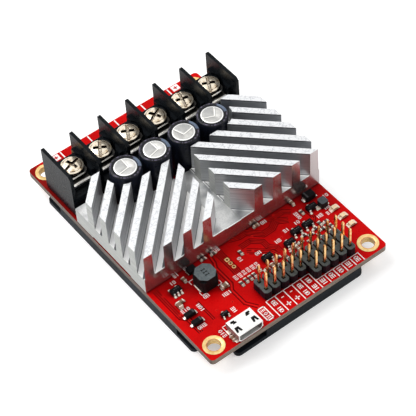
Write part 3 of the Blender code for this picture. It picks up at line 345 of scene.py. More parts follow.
def aluminium_floors(look, place):
    """The floor of each groove has a painted highlight along its middle and painted shade at its feet.
    """
    aside = look.size(place[0])
    across = look.times(look.plus(aside, place[1]), -math.sqrt(0.5))
    step = look.sums("DIVIDE", look.sums("SUBTRACT", across, GROOVE_PLACE), GROOVE_PITCH)
    offset = look.sums("SUBTRACT", look.sums("FRACT", look.plus(step, 0.5)), 0.5)
    offset = look.times(offset, GROOVE_PITCH)
    between = look.times(look.fade(across, GROOVE_FIRST - 0.1 * MM, GROOVE_FIRST),
                         look.fade(across, GROOVE_LAST + 0.1 * MM, GROOVE_LAST))
    between = look.times(between, look.fade(aside, 2.3 * MM, 2.4 * MM))
    floor = look.tone(4, 0.35, 0.65, (228, 228, 227), (146, 148, 150), 1.0)
    floor = look.blend(look.patch(0.35, 0.45, 0.7, end=0.3), floor, (150, 152, 156))
    ragged = look.plus(offset, look.times(look.noise(0.6), 0.2 * MM))
    # painted highlight along the middle of each groove, painted shade at its feet
    groove = look.blend(look.near(ragged, -0.2, 0.6, 0.72), (92, 92, 96), (255, 254, 252))
    floor = look.blend(between, floor, groove)
    # a painted highlight where the centre channel steps down, with a painted shadow beside it, and a
    # painted highlight along the front
    inner = look.fade(place[1], SINK_FRONT + 4 * MM, SINK_FRONT + 4.3 * MM)
    ledge_highlight = look.times(look.near(place[0], 2.34, 0.09, 0.14), inner)
    shadow = look.times(look.near(place[0], 2.62, 0.08, 0.13), inner)
    brink_highlight = look.fade(place[1], SINK_FRONT + 0.32 * MM, SINK_FRONT + 0.22 * MM)
    floor = look.blend(look.times(shadow, 0.8), floor, (54, 54, 58))
    return look.blend(look.sums("MAXIMUM", ledge_highlight, brink_highlight), floor, (255, 255, 254))


def black_plastic():
    look = Look("terminal_plastic", (15, 17, 19), 0.36)
    return look.finish(look.tone(3, 0.3, 0.7, (12, 15, 18), (22, 26, 30)),
                       (0.6, 0.24, 0.36), (0.3, 0.012), IOR=DULL_IOR)


def chip_plastic():
    look = Look("chip_plastic", (16, 15, 17), 0.5)
    return look.finish(look.tone(0.6, 0.35, 0.65, (10, 9, 11), (24, 22, 25)),
                       (0.15, 0.42, 0.6), (0.08, 0.012), IOR=DULL_IOR)


def mark_grey():
    """Laser marks and bands on moulded parts."""
    look = Look("mark_grey", (70, 68, 70), 0.6)
    return look.finish(look.blend(look.noise(0.2), (48, 47, 50), (84, 82, 84)),
                       Specular_IOR_Level=0.1)


def header_plastic():
    """Painted light: lighter grey on its moulded tops, and nearly black down its sides as painted
    shade, tinted red as a painted reflection of the board.
    """
    look = Look("header_plastic", (60, 66, 66), 0.5)
    upper = look.tone(1.2, 0.3, 0.7, (72, 78, 78), (92, 98, 98))
    side = look.tone(1.2, 0.3, 0.7, (24, 14, 20), (40, 22, 30))
    return look.finish(look.blend(look.upward(0.3, 0.6), side, upper),
                       (0.3, 0.42, 0.56), (0.15, 0.015), IOR=DULL_IOR)


def nickel():
    look = Look("bright_nickel", (240, 230, 210), 0.14, 1.0)
    plate = look.tone(0.9, 0.5, 0.7, (252, 240, 218), (220, 196, 160), 4.0)
    ring = look.near(look.radius(), 2.3, 0.07, 0.16)
    plate = look.blend(look.times(ring, look.patch(1.1, 0.42, 0.55)), plate, (110, 78, 50))
    # painted shade: darker in hollows such as the slot and cross of the head and the thread
    plate = look.blend(look.open_share(0.7, 0.5, 0.9), (84, 58, 38), plate)
    # painted shade: the sides and undersides are darker
    return look.finish(look.blend(look.upward(0.5, 0.25), plate, (44, 30, 20)),
                       (0.5, 0.16, 0.26), (0.6, 0.004), Metallic=0.75)


def terminal_steel(name, upper_start, upper_end):
    """Bright at the front; painted shade darkens the upper face between two distances from the board's
    middle, and the hollows.
    """
    look = Look(name, (244, 242, 234), 0.3, 1.0)
    plate = look.tone(1.3, 0.5, 0.75, (255, 254, 250), (236, 230, 216))
    # painted shade in hollows
    plate = look.blend(look.open_share(0.9, 0.4, 0.62), (30, 22, 16), plate)
    # painted shade on the upper face behind the front
    behind = look.fade(look.split(look.place)[1], upper_start, upper_end)
    shaded_top = look.times(look.upward(0.4, 0.7), behind)
    return look.finish(look.blend(look.times(shaded_top, 0.92), plate, (34, 28, 24)),
                       (0.5, 0.26, 0.38), (0.5, 0.003))


def tinned_steel():
    look = Look("tinned_steel", (236, 234, 228), 0.24, 0.85)
    return look.finish(look.tone(1.1, 0.45, 0.75, (242, 240, 234), (196, 188, 174), 4.0),
                       (0.4, 0.18, 0.34), (0.4, 0.01))


def shell_steel():
    """The drawn shell of the data port, nearly white under the lamps."""
    look = Look("shell_steel", (248, 247, 244), 0.36, 0.6)
    grain = look.stretched(2.0, 700.0, 6000.0, 700.0)
    face = look.blend(look.fade(grain, 0.3, 0.7), (252, 251, 249), (236, 234, 230))
    # painted reflection: the sides are darker and red, like the board they face
    side = look.fade(look.size(look.normal()[0]), 0.5, 0.8)
    look.relief(grain, 0.006 * MM)
    return look.finish(look.blend(side, face, (128, 84, 84)), (0.8, 0.3, 0.42))


def can_sleeve():
    """Dark shrink sleeve with one pale polarity stripe, in the can's own frame."""
    look = Look("shrink_sleeve", (20, 23, 34), 0.28)
    place = look.split(look.place)
    angle = look.sums("ARCTAN2", place[1], place[0])
    half = math.radians(STRIPE_WIDTH / 2)
    stripe = look.fade(look.size(angle), half, half + 0.02, 1.0, 0.0)
    dark = look.tone(1.5, 0.3, 0.7, (17, 20, 31), (32, 36, 50))
    pale = look.tone(1.5, 0.3, 0.7, (78, 92, 114), (104, 118, 138))
    # the fold over the rim is darker on top and creased round the can, with a painted highlight along
    # its outer edge and painted shade next to the disc
    out = look.radius()
    turns = look.node("ShaderNodeCombineXYZ", {"X": look.times(angle, 3.5)}).outputs[0]
    creases = look.fade(look.noise(None, 2.0, turns), 0.46, 0.56)
    upper = look.upward(0.1, 0.3)
    edge = look.near(out, CAN_RADIUS / MM - 0.34, 0.08, 0.2)
    # painted highlight along the creased outer edge of the fold
    fold = look.blend(look.times(edge, creases), (8, 10, 18), (98, 92, 112))
    face = look.blend(stripe, look.blend(upper, dark, fold), pale)
    # painted shade next to the disc
    disc_shade = look.fade(out, DISC_RADIUS + 0.3 * MM, DISC_RADIUS + 0.14 * MM)
    return look.finish(look.blend(look.times(upper, disc_shade), face, (6, 7, 12)),
                       (0.5, 0.26, 0.38), (0.9, 0.02), Specular_IOR_Level=0.25)


def can_top():
    """Brushed disc with two vent scores from one corner and a darker leaf between them; each score has
    a painted highlight with painted shade along one side, and the rim has a painted highlight.
    """
    look = Look("can_top", (226, 226, 224), 0.4, 1.0)
    grain = look.stretched(3.0, 600.0, 5200.0, 600.0)
    bright = look.blend(look.fade(grain, 0.3, 0.7), (212, 211, 207), (190, 189, 185))
    patches = look.patch(1.2, 0.35, 0.68, 4.0)
    face = look.blend(look.times(patches, 0.6), bright, (168, 168, 167))
    place = look.split(look.place)
    out = look.plus(place[0], SCORE_SHIFT)
    aside = look.size(place[1])
    cosine, sine = math.cos(SCORE_HALF_ANGLE), math.sin(SCORE_HALF_ANGLE)
    along = look.plus(look.times(out, cosine), look.times(aside, sine))
    across = look.sums("SUBTRACT", look.times(aside, cosine), look.times(out, sine))
    leaf = look.fade(across, 0.0, -0.05 * MM)
    face = look.blend(look.times(leaf, 0.3), face, (146, 148, 150))
    # painted highlight along each score, with painted shade along one side
    reached = look.fade(along, -0.1 * MM, 0.0)
    shade = look.times(look.near(across, 0.26, 0.05, 0.12), look.times(reached, 0.6))
    face = look.blend(shade, face, (100, 100, 98))
    score_highlight = look.times(look.near(across, 0.0, 0.12, 0.18), reached)
    face = look.blend(score_highlight, face, (238, 237, 232))
    # painted highlight round the rim of the disc
    rim = look.fade(look.radius((1.0, 1.0, 1.0)), DISC_RADIUS - 0.34 * MM, DISC_RADIUS - 0.24 * MM)
    look.relief(grain, 0.012 * MM)
    return look.finish(look.blend(rim, face, (255, 255, 253)), Metallic=0.8,
                       Roughness=look.fade(grain, 0.3, 0.7, 0.4, 0.55))


def ferrite():
    look = Look("grey_ferrite", (96, 104, 106), 0.6)
    cloud = look.patch(0.5, 0.35, 0.65, 4.0)
    face = look.blend(cloud, (86, 94, 97), (104, 112, 114))
    black = look.blend(cloud, (6, 5, 7), (14, 12, 14))
    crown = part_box("power_inductor")[1].z
    above = look.fade(look.split(look.place)[2], crown - 0.5 * MM, crown - 0.3 * MM)
    cap = look.times(look.upward(0.5, 0.7), above)
    return look.finish(look.blend(cap, black, face), None, (0.2, 0.03, 4.0),
                       Specular_IOR_Level=0.14, Roughness=look.fade(cloud, 0.0, 1.0, 0.5, 0.68))


def small_ferrite():
    look = Look("small_ferrite", (58, 60, 62), 0.5)
    # painted light: lighter on its top, with painted shade down its sides
    top = look.tone(0.4, 0.35, 0.65, (66, 72, 76), (84, 90, 94), 4.0)
    side = look.tone(0.4, 0.35, 0.65, (20, 17, 20), (34, 28, 32), 4.0)
    return look.finish(look.blend(look.upward(0.4, 0.8), side, top), None, (0.2, 0.03, 4.0),
                       Specular_IOR_Level=0.12)


def ceramic(name, base, deep):
    look = Look(name, base, 0.4)
    return look.finish(look.blend(look.noise(0.25), base, deep), None, (0.1, 0.01))


def lens():
    look = Look("cream_lens", (240, 212, 172), 0.5)
    cream = look.tone(0.5, 0.45, 0.7, (244, 218, 182), (228, 186, 140))
    # painted shade: the lens is darker and browner down its sides
    return look.finish(look.blend(look.upward(0.4, 0.8), (140, 92, 66), cream),
                       Subsurface_Weight=0.35, Subsurface_Radius=(0.0006, 0.0004, 0.0002),
                       Subsurface_Scale=1.0, IOR=DULL_IOR)


def soft_pad():
    look = Look("soft_pad", (150, 158, 168), 0.8)
    return look.finish(look.blend(look.noise(0.8), (140, 148, 158), (164, 172, 182)), None,
                       (0.2, 0.03))


SINK_LOW, SINK_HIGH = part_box("heatsink")
SINK_FRONT = SINK_LOW.y
SINK_BOTTOM = SINK_LOW.z
SINK_TOP = SINK_HIGH.z
GROOVE_FLOOR = 4.65 * MM
GROOVE_PITCH = 3.98 * MM
GROOVE_PLACE = 1.28 * MM
GROOVE_FIRST = -24.5 * MM
GROOVE_LAST = 3.2 * MM
STRIPE_WIDTH = 52.0
CAN_RADIUS = 3.9 * MM
DISC_RADIUS = CAN_RADIUS - 1.08 * MM
SCORE_SHIFT = 0.75 * MM
SCORE_HALF_ANGLE = math.radians(50.0)

RED_MASK = solder_mask()
RAISED_MASK = raised_mask()
SUNK_MASK = sunk_mask()
WHITE_INK = white_ink()
GOLD = gold("gold_plate", (246, 216, 156), (224, 184, 112), (84, 58, 26), 0.3)
PIN_GOLD = gold("pin_gold", (248, 212, 150), (216, 138, 72), (86, 38, 14), 0.12)
SOLDER = solder()
TRAY = tray_plastic()
ALUMINIUM = milled_aluminium()
BLACK_PLASTIC = black_plastic()
CHIP_PLASTIC = chip_plastic()
MARK_GREY = mark_grey()
HEADER_PLASTIC = header_plastic()
NICKEL = nickel()
TINNED = tinned_steel()
PLATE_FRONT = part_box("terminal_plate_1")[0].y
PLATE_STEEL = terminal_steel("plate_steel", PLATE_FRONT + 0.6 * MM, PLATE_FRONT + 0.75 * MM)
CLAMP_STEEL = terminal_steel("clamp_steel", PLATE_FRONT - 0.2 * MM, PLATE_FRONT)
SHELL = shell_steel()
SLEEVE = can_sleeve()
CAN_TOP = can_top()
FERRITE = ferrite()
SMALL_FERRITE = small_ferrite()
RESISTOR_BODY = ceramic("resistor_body", (46, 36, 34), (84, 66, 58))
CAPACITOR_BODY = ceramic("capacitor_body", (150, 116, 88), (112, 82, 62))
CREAM_BODY = ceramic("cream_body", (236, 216, 180), (220, 186, 146))
LENS = lens()
SOFT_PAD = soft_pad()


# Mesh helpers: each adds a form to a bmesh, in the given material

def shifted(x, y, z=0.0, turn=0.0):
    """A place in the plan, turned about Z by degrees."""
    return Matrix.Translation((x, y, z)) @ Matrix.Rotation(math.radians(turn), 4, "Z")


def add_box(work, start, end, index=0, rounding=0.0, turn=None):
    """A box between two corners, in any order; turn is a matrix applied at the end."""
    low = Vector(map(min, start, end))
    high = Vector(map(max, start, end))
    made = bmesh.ops.create_cube(work, size=1.0, matrix=(
        Matrix.Translation((low + high) / 2) @ Matrix.Diagonal((*(high - low), 1.0))))
    verts = made["verts"]
    faces = {face for vertex in verts for face in vertex.link_faces}
    for face in faces:
        face.material_index = index
    if rounding:
        edges = list({edge for vertex in verts for edge in vertex.link_edges})
        result = bmesh.ops.bevel(
            work, geom=edges, offset=rounding, segments=2, profile=0.5, affect="EDGES")
        verts = list({vertex for face in result["faces"] for vertex in face.verts}
                     | {vertex for face in faces if face.is_valid for vertex in face.verts})
    if turn is not None:
        bmesh.ops.transform(work, matrix=turn, verts=verts)


def add_pair(work, start, end, index=0, rounding=0.0, turn=None):
    """Two boxes, of which the second mirrors the first in X."""
    for side in SIDES:
        add_box(work, (side * start[0], *start[1:]), (side * end[0], *end[1:]), index, rounding, turn)


def add_rings(work, rings, place=None, index=0):
    """A closed form lofted through outlines of one count, each at its own level."""
    place = place or Matrix.Identity(4)
    rows = [[work.verts.new(place @ Vector((x, y, level))) for x, y in outline]
            for outline, level in rings]
    count = len(rows[0])
    faces = [work.faces.new(list(reversed(rows[0]))), work.faces.new(rows[-1])]
    for lower, upper in zip(rows, rows[1:]):
        for here in range(count):
            there = (here + 1) % count
            faces.append(work.faces.new([lower[here], lower[there], upper[there], upper[here]]))
    for face in faces:
        face.material_index = index
    return [vertex for row in rows for vertex in row]


def add_prism(work, outline, bottom, top, index=0, place=None):
    """A flat outline, counter-clockwise, raised between two levels."""
    return add_rings(work, [(outline, bottom), (outline, top)], place, index)


def add_turned(work, profile, steps=ROUND_STEPS, index=0, place=None, closed=False):
    """A profile of (radius, height), turned about Z; a radius of 0 closes it at a pole."""
    place = place or Matrix.Identity(4)
    rows = []
    for radius, height in profile:
        angles = [math.tau * step / steps for step in range(steps if radius else 1)]
        rows.append([work.verts.new(place @ Vector((
            radius * math.cos(angle), radius * math.sin(angle), height))) for angle in angles])
    pairs = list(zip(rows, rows[1:]))
    if closed:
        pairs.append((rows[-1], rows[0]))
    for first, second in pairs:
        for step in range(steps):
            after = (step + 1) % steps
            corners = [row[turn % len(row)] for row, turn in (
                (first, step), (second, step), (second, after), (first, after))]
            work.faces.new(list(dict.fromkeys(corners))).material_index = index


def rectangle(x0, y0, x1, y1):
    return [(x0, y0), (x1, y0), (x1, y1), (x0, y1)]


def from_millimetres(points):
    """Points given in millimetres, in metres."""
    return [(x * MM, y * MM) for x, y in points]


def in_row(count, pitch):
    """Places of a row of things, about its middle."""
    return [(index - (count - 1) / 2) * pitch for index in range(count)]


def arc(centre_x, centre_y, radius, start, end, steps):
    angles = [math.radians(start + (end - start) * step / steps) for step in range(steps + 1)]
    return [(centre_x + radius * math.cos(angle), centre_y + radius * math.sin(angle))
            for angle in angles]


def chamfered(half_x, half_y, cut):
    quarter = [(half_x, half_y - cut), (half_x - cut, half_y)]
    side = [(half_x, -half_y + cut), *quarter, (-half_x + cut, half_y)]
    return side + [(-x, -y) for x, y in side]


def mesh_of(name, work, looks=()):
    mesh = bpy.data.meshes.new(name)
    bmesh.ops.recalc_face_normals(work, faces=work.faces)
    work.to_mesh(mesh)
    work.free()
    for look in looks:
        mesh.materials.append(look)
    return mesh


def piece(name, work, looks=(), location=(0.0, 0.0, 0.0), turn=0.0, smooth=True,
          replaces=()):
    """The finished object, from a bmesh or a mesh, which rides on the root body."""
    mesh = mesh_of(name, work, looks) if isinstance(work, bmesh.types.BMesh) else work
    if smooth:
        mesh.shade_smooth()
        mesh.set_sharp_from_angle(angle=math.radians(SMOOTH_ANGLE))
    item = bpy.data.objects.new(name, mesh)
    item.location = location
    item.rotation_euler = (0.0, 0.0, math.radians(turn))
    bpy.context.scene.collection.objects.link(item)
    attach(item, "root")
    if replaces:
        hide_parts(*replaces)
    return item


def stand_in(name, work, looks, smooth=True):
    """A piece that shows in place of a solid, built round the middle of that solid's foot."""
    low, _, centre = span(name)
    piece(f"{name}_body", work, looks, (centre.x, centre.y, low.z), smooth=smooth,
          replaces=(name,))


def cut_mesh(mesh, tool):
    """The mesh with the tool's forms cut away; the two objects that it takes are removed again."""
    body = bpy.data.objects.new("body", mesh)
    cutter = bpy.data.objects.new("cutter", mesh_of("tool", tool))
    for item in (body, cutter):
        bpy.context.scene.collection.objects.link(item)
    cut = body.modifiers.new("cut", "BOOLEAN")
    cut.operation = "DIFFERENCE"
    cut.solver = "EXACT"
    cut.use_self = True
    cut.object = cutter
    bpy.context.view_layer.update()
    evaluated = body.evaluated_get(bpy.context.evaluated_depsgraph_get())
    result = bpy.data.meshes.new_from_object(evaluated)
    for item in (body, cutter):
        bpy.data.objects.remove(item, do_unlink=True)
    return result


def soften(item, width):
    """Rounds the sharp edges of a piece or of a carried-over solid."""
    rounding = item.modifiers.new("soft_edges", "BEVEL")
    rounding.width = width
    rounding.segments = 2
    rounding.limit_method = "ANGLE"
    rounding.angle_limit = math.radians(SOFT_ANGLE)


def dress(name, look, edge=0.0):
    """Gives a carried-over solid its material and its edge rounding."""
    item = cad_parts[name]
    for place in item.material_slots:
        place.material = look
    if not item.material_slots:
        item.data.materials.append(look)
    if edge:
        soften(item, edge)


def span(name):
    """Lowest and highest corner of a solid, and its middle."""
    low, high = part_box(name)
    return low, high, (low + high) / 2


# The larger pieces

TRANSISTOR_COUNT = 8
ASSEMBLY_SCREW_COUNT = 4


def board_and_tray():
    dress("circuit_board", RED_MASK)
    dress("base_tray", TRAY, 0.15 * MM)
    dress("heatsink", ALUMINIUM, 0.06 * MM)
    dress("thermal_pad", SOFT_PAD)
    dress("controller_chip", CHIP_PLASTIC)
    for number in range(1, TRANSISTOR_COUNT + 1):
        dress(f"power_transistor_{number}", CHIP_PLASTIC)
    for number in range(1, ASSEMBLY_SCREW_COUNT + 1):
        dress(f"assembly_screw_{number}", TINNED)


MOUNT_PLACES = ((3.14, 3.345), (48.86, 3.345), (3.14, 70.655), (48.86, 70.655))
MOUNT_HOLE_RADIUS = 1.62 * MM
MOUNT_LAND_RADIUS = 2.64 * MM
PLATE_RISE = 0.01 * MM
PLATE_EDGE = 0.04 * MM


def mount_rings():
    """Plated barrel and lands of each mounting hole, turned as one ring."""
    top = BOARD_HIGH.z + PLATE_RISE
    bottom = BOARD_LOW.z - PLATE_RISE
    hole = MOUNT_HOLE_RADIUS
    land = MOUNT_LAND_RADIUS
    edge = PLATE_EDGE
    profile = [
        (hole, bottom + edge), (hole, top - 2 * edge), (hole + edge, top - edge),
        (hole + 3 * edge, top), (land - edge, top), (land, top - edge), (land, bottom + edge),
        (land - edge, bottom), (hole + edge, bottom)]
    for number, (x, y) in enumerate(MOUNT_PLACES, 1):
        work = bmesh.new()
        add_turned(work, profile, closed=True)
        centre = at(x, y)
        piece(f"mount_ring_{number}", work, [GOLD], (centre.x, centre.y, 0.0))


# turn of each can, and of the scores on its top
CAN_TURNS = ((-8.5, 138.0), (-2.0, 143.0), (2.5, 60.0), (5.0, 105.0))
SLEEVE_ROLL = 0.4 * MM
# insets and levels of the sleeve down its side, with the crimp
SLEEVE_SIDE = ((0.0, 3.2), (0.1, 2.9), (0.35, 2.4), (0.35, 2.1), (0.1, 1.6), (0.0, 1.3),
               (0.0, 0.4), (0.4, 0.0))
SCORE_WIDTH = 0.26 * MM
SCORE_LENGTH = 2.5 * MM
SCORE_DEPTH = 0.06 * MM
SCORE_FLARE = 2.4
TOP_RISE = 0.25 * MM
TOP_EDGE = 0.1 * MM
TOP_SINK = 0.1 * MM


def capacitors():
    """Sleeved cans: the sleeve folds over the rim, and the can's top is scored to vent."""
    for number, (turn, score_turn) in enumerate(CAN_TURNS, 1):
        low, high, centre = span(f"capacitor_{number}")
        radius = (high.x - low.x) / 2
        height = high.z - low.z
        work = bmesh.new()
        profile = [(DISC_RADIUS, height - 0.35 * MM), (DISC_RADIUS, height - 0.1 * MM),
                   (DISC_RADIUS + 0.12 * MM, height)]
        profile.extend(reversed(
            arc(radius - SLEEVE_ROLL, height - SLEEVE_ROLL, SLEEVE_ROLL, 0.0, 80.0, 6)))
        profile.extend((radius - inset * MM, level * MM) for inset, level in SLEEVE_SIDE)
        add_turned(work, [*profile, (0.0, 0.0)])
        piece(f"capacitor_{number}_sleeve", work, [SLEEVE], (centre.x, centre.y, low.z), turn,
              replaces=(f"capacitor_{number}",))
        capacitor_top(number, centre, high.z, score_turn)


def capacitor_top(number, centre, top, turn):
    """The aluminium disc, with two vent scores that meet at a corner."""
    work = bmesh.new()
    disc = DISC_RADIUS
    add_turned(work, [
        (0.0, TOP_RISE), (disc - 2 * TOP_EDGE, TOP_RISE), (disc - TOP_EDGE, TOP_RISE - TOP_EDGE / 4),
        (disc, TOP_RISE - TOP_EDGE), (disc, 0.0), (0.0, 0.0)])
    grooves = bmesh.new()
    half = SCORE_WIDTH / 2
    for angle in (-SCORE_HALF_ANGLE, SCORE_HALF_ANGLE):
        made = add_prism(grooves, rectangle(-half, -half, SCORE_LENGTH, half),
                         TOP_RISE - SCORE_DEPTH, TOP_RISE + SCORE_DEPTH)
        for vertex in made:
            if vertex.co.z > TOP_RISE:
                vertex.co.y *= SCORE_FLARE
        place = Matrix.Translation((-SCORE_SHIFT, 0.0, 0.0)) @ Matrix.Rotation(angle, 4, "Z")
        bmesh.ops.transform(grooves, matrix=place, verts=made)
    result = cut_mesh(mesh_of("can_top", work, [CAN_TOP]), grooves)
    piece(f"capacitor_{number}_top", result, (), (centre.x, centre.y, top - TOP_SINK - TOP_RISE),
          turn)


WAYS = 6
SCREW_TURNS = (14.0, 57.0, 60.0, 27.0, 75.0, 63.0)
HEAD_RADIUS = 2.8 * MM
HEAD_HEIGHT = 1.25 * MM
HEAD_RIM = 0.7 * MM
HEAD_STEPS = 9
THREAD_RADIUS = 1.5 * MM
THREAD_PITCH = 0.7 * MM
THREAD_DEPTH = 0.25 * MM
THREAD_STEPS = 24
# share of full depth at the thread's two ends, and its section as (share of depth, of pitch)
THREAD_START = 0.2
THREAD_SECTION = ((0.0, -0.5), (1.0, -0.12), (1.0, 0.12), (0.0, 0.5))
SHANK_LENGTH = 6.0 * MM
SLOT_WIDTH = 1.05 * MM
SLOT_DEPTH = 0.85 * MM
SLOT_TAPER = 0.6
CROSS_DEPTH = 0.7 * MM
CROSS_TAPER = 0.9
HEAD_EDGE = 0.08 * MM
# each bar of the slot: its reach as a share of the head, its depth and its turn
SLOT_BARS = ((1.2, CROSS_DEPTH, 0.0), (0.62, SLOT_DEPTH, 90.0))


def screw_head_mesh():
    """A domed head with a full slot and a short cross bar, tapered to the bottom."""
    work = bmesh.new()
    crown = HEAD_HEIGHT - HEAD_RIM
    shares = [step / HEAD_STEPS for step in range(1, HEAD_STEPS + 1)]
    add_turned(work, [
        (0.0, HEAD_HEIGHT),
        *((HEAD_RADIUS * share, HEAD_RIM + crown * (1 - share ** 3)) for share in shares),
        (HEAD_RADIUS, HEAD_EDGE), (HEAD_RADIUS - HEAD_EDGE, 0.0), (0.0, 0.0)])
    tool = bmesh.new()
    floor = HEAD_HEIGHT - SLOT_DEPTH
    for share, depth, turn in SLOT_BARS:
        reach = share * HEAD_RADIUS
        made = add_prism(tool, rectangle(-reach, -SLOT_WIDTH / 2, reach, SLOT_WIDTH / 2),
                         HEAD_HEIGHT - depth, HEAD_HEIGHT + 0.5 * MM)
        for vertex in made:
            if vertex.co.z < floor + 0.2 * MM:
                vertex.co.y *= SLOT_TAPER
                vertex.co.x *= CROSS_TAPER
        bmesh.ops.transform(tool, matrix=shifted(0.0, 0.0, turn=turn), verts=made)
    return cut_mesh(mesh_of("screw_head", work, [NICKEL]), tool)


def thread_mesh():
    """A helical thread on a shank, worked out along the helix."""
    work = bmesh.new()
    length = SHANK_LENGTH / THREAD_PITCH * THREAD_STEPS
    core = THREAD_RADIUS - THREAD_DEPTH
    previous = None
    for step in range(int(length) + 1):
        angle = math.tau * step / THREAD_STEPS
        height = -THREAD_PITCH * step / THREAD_STEPS
        taper = min(1.0, THREAD_START + min(step, length - step) / THREAD_STEPS)
        row = []
        for out, along in THREAD_SECTION:
            radius = core + THREAD_DEPTH * out * taper
            row.append(work.verts.new((
                radius * math.cos(angle), radius * math.sin(angle), height + along * THREAD_PITCH)))
        if previous:
            for index in range(len(THREAD_SECTION) - 1):
                work.faces.new([previous[index], previous[index + 1], row[index + 1], row[index]])
        previous = row
    add_turned(work, [(0.0, 0.0), (core, 0.0), (core, -SHANK_LENGTH), (core * 0.7, -SHANK_LENGTH),
                      (0.0, -SHANK_LENGTH)], THREAD_STEPS)
    return mesh_of("thread", work, [NICKEL])


def terminal_parts():
    dress("terminal_block", BLACK_PLASTIC, 0.12 * MM)
    head = screw_head_mesh()
    thread = thread_mesh()
    for number, turn in enumerate(SCREW_TURNS, 1):
        name = f"terminal_screw_{number}"
        _, high, centre = span(name)
        place = (centre.x, centre.y, high.z - HEAD_HEIGHT)
        item = piece(f"{name}_head", head, (), place, turn, replaces=(name,))
        soften(item, 0.07 * MM)
        piece(f"{name}_thread", thread, (), place, turn)
        dress(f"terminal_clamp_{number}", CLAMP_STEEL, 0.08 * MM)
        dress(f"terminal_plate_{number}", PLATE_STEEL, 0.08 * MM)
    bay_marks()


BAY_PITCH = 8.25
FIRST_BAY = 5.375
BLOCK_FACE = 54.4
BAY_HALF = 3.4 * MM
BAY_DEPTH = 3.4 * MM
WELL_RADIUS = 3.15 * MM
WELL_RISE = -0.9 * MM


def bay_marks():
    """A shallow panel low on the front of each bay, and a hollowed wall behind each screw."""
    panels = bmesh.new()
    wells = bmesh.new()
    for way in range(WAYS):
        x = FIRST_BAY + way * BAY_PITCH
        add_box(panels, at(x - 2.6, BLOCK_FACE - 0.04, 3.2), at(x + 2.6, BLOCK_FACE + 0.3, 4.9), 0,
                0.05 * MM)
        _, high, centre = span(f"terminal_screw_{way + 1}")
        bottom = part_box(f"terminal_plate_{way + 1}")[1].z
        outline = arc(0.0, 0.0, WELL_RADIUS, 4.0, 84.0, 16) + [
            (0.1 * WELL_RADIUS, BAY_DEPTH), (BAY_HALF, BAY_DEPTH), (BAY_HALF, 0.1 * WELL_RADIUS)]
        for plan in ([(-x, y) for x, y in reversed(outline)], outline):
            add_prism(wells, plan, bottom, high.z + WELL_RISE, 0, shifted(centre.x, centre.y))
    piece("terminal_block_panels", panels, [BLACK_PLASTIC])
    soften(piece("terminal_block_wells", wells, [BLACK_PLASTIC]), 0.08 * MM)


# Pin headers

PIN_PITCH = 2.54 * MM
PIN_WIDTH = 0.58 * MM
PIN_TIP = 0.4 * MM
HOUSING_HEIGHT = 2.5 * MM
CELL_CUT = 0.5 * MM
CELL_WAIST = 0.14 * MM
CELL_EDGE = 0.1 * MM
CELL_GAP = 0.2 * MM
SEAT_WIDTH = 0.95 * MM
COLUMNS = 5
PIN_EDGE = 0.05 * MM
TIP_SHARE = 0.45
PLATE_DEPTH = 0.9 * MM


def column_outline(rows, inset):
    """Plan of one moulded column from its front: cut at its corners, waisted between its rows."""
    half = PIN_PITCH / 2 - CELL_GAP - inset
    back = rows * PIN_PITCH - inset
    side = [(half - CELL_CUT, inset), (half, inset + CELL_CUT)]
    for row in range(1, rows):
        joint = row * PIN_PITCH
        side.extend([(half, joint - 2 * CELL_WAIST), (half - CELL_WAIST, joint),
                     (half, joint + 2 * CELL_WAIST)])
    side.extend([(half, back - CELL_CUT), (half - CELL_CUT, back)])
    return side + [(-x, y) for x, y in reversed(side)]


def pin_header(name, rows):
    """Moulded columns side by side, a dark seat of painted shade round each pin where it enters, and
    gold pins.
    """
    low, high, centre = span(name)
    left = centre.x - COLUMNS * PIN_PITCH / 2
    bottom = low.z
    top = bottom + HOUSING_HEIGHT
    housing = bmesh.new()
    pins = bmesh.new()
    pin = PIN_WIDTH / 2
    edge = PIN_EDGE
    tip = pin * TIP_SHARE
    core = CELL_CUT + CELL_GAP
    seat = SEAT_WIDTH / 2
    add_box(housing, (low.x + core, low.y + core, bottom + 0.1 * MM),
            (high.x - core, high.y - core, top - PLATE_DEPTH), 1)
    for column in range(COLUMNS):
        x = left + (column + 0.5) * PIN_PITCH
        add_rings(housing, [
            (column_outline(rows, 0.0), bottom), (column_outline(rows, 0.0), top - CELL_EDGE),
            (column_outline(rows, CELL_EDGE), top)], shifted(x, low.y))
        for row in range(rows):
            place = shifted(x, low.y + (row + 0.5) * PIN_PITCH)
            # painted shade: a dark seat round each pin where it enters the housing
            add_rings(housing, [
                (chamfered(seat, seat, edge), top - edge),
                (chamfered(seat - edge, seat - edge, edge), top + 0.01 * MM)], place, 1)
            add_rings(pins, [
                (chamfered(pin, pin, edge), bottom + 0.4 * MM),
                (chamfered(pin, pin, edge), high.z - PIN_TIP),
                (chamfered(tip, tip, edge / 2), high.z - 0.02 * MM)], place)
    piece(f"{name}_housing", housing, [HEADER_PLASTIC, CHIP_PLASTIC],
          replaces=(name,))
    piece(f"{name}_pins", pins, [PIN_GOLD])


# Data port

CONTACT_COUNT = 5
CONTACT_PITCH = 0.65 * MM
# plans of a latch window, its bent tab and a rear notch, in millimetres
WINDOW = ((-0.8, -0.78), (-0.25, -0.78), (-0.25, -0.5), (0.25, -0.5), (0.25, -0.78), (0.8, -0.78),
          (0.55, 0.78), (-0.55, 0.78))
WINDOW_TAB = ((-0.1, -0.5), (0.12, -0.5), (0.08, -0.05), (-0.08, -0.05))
NOTCH = ((-0.7, -0.3), (0.1, -0.3), (0.1, -0.62), (0.4, -0.62), (0.4, 0.26), (-0.7, 0.26))


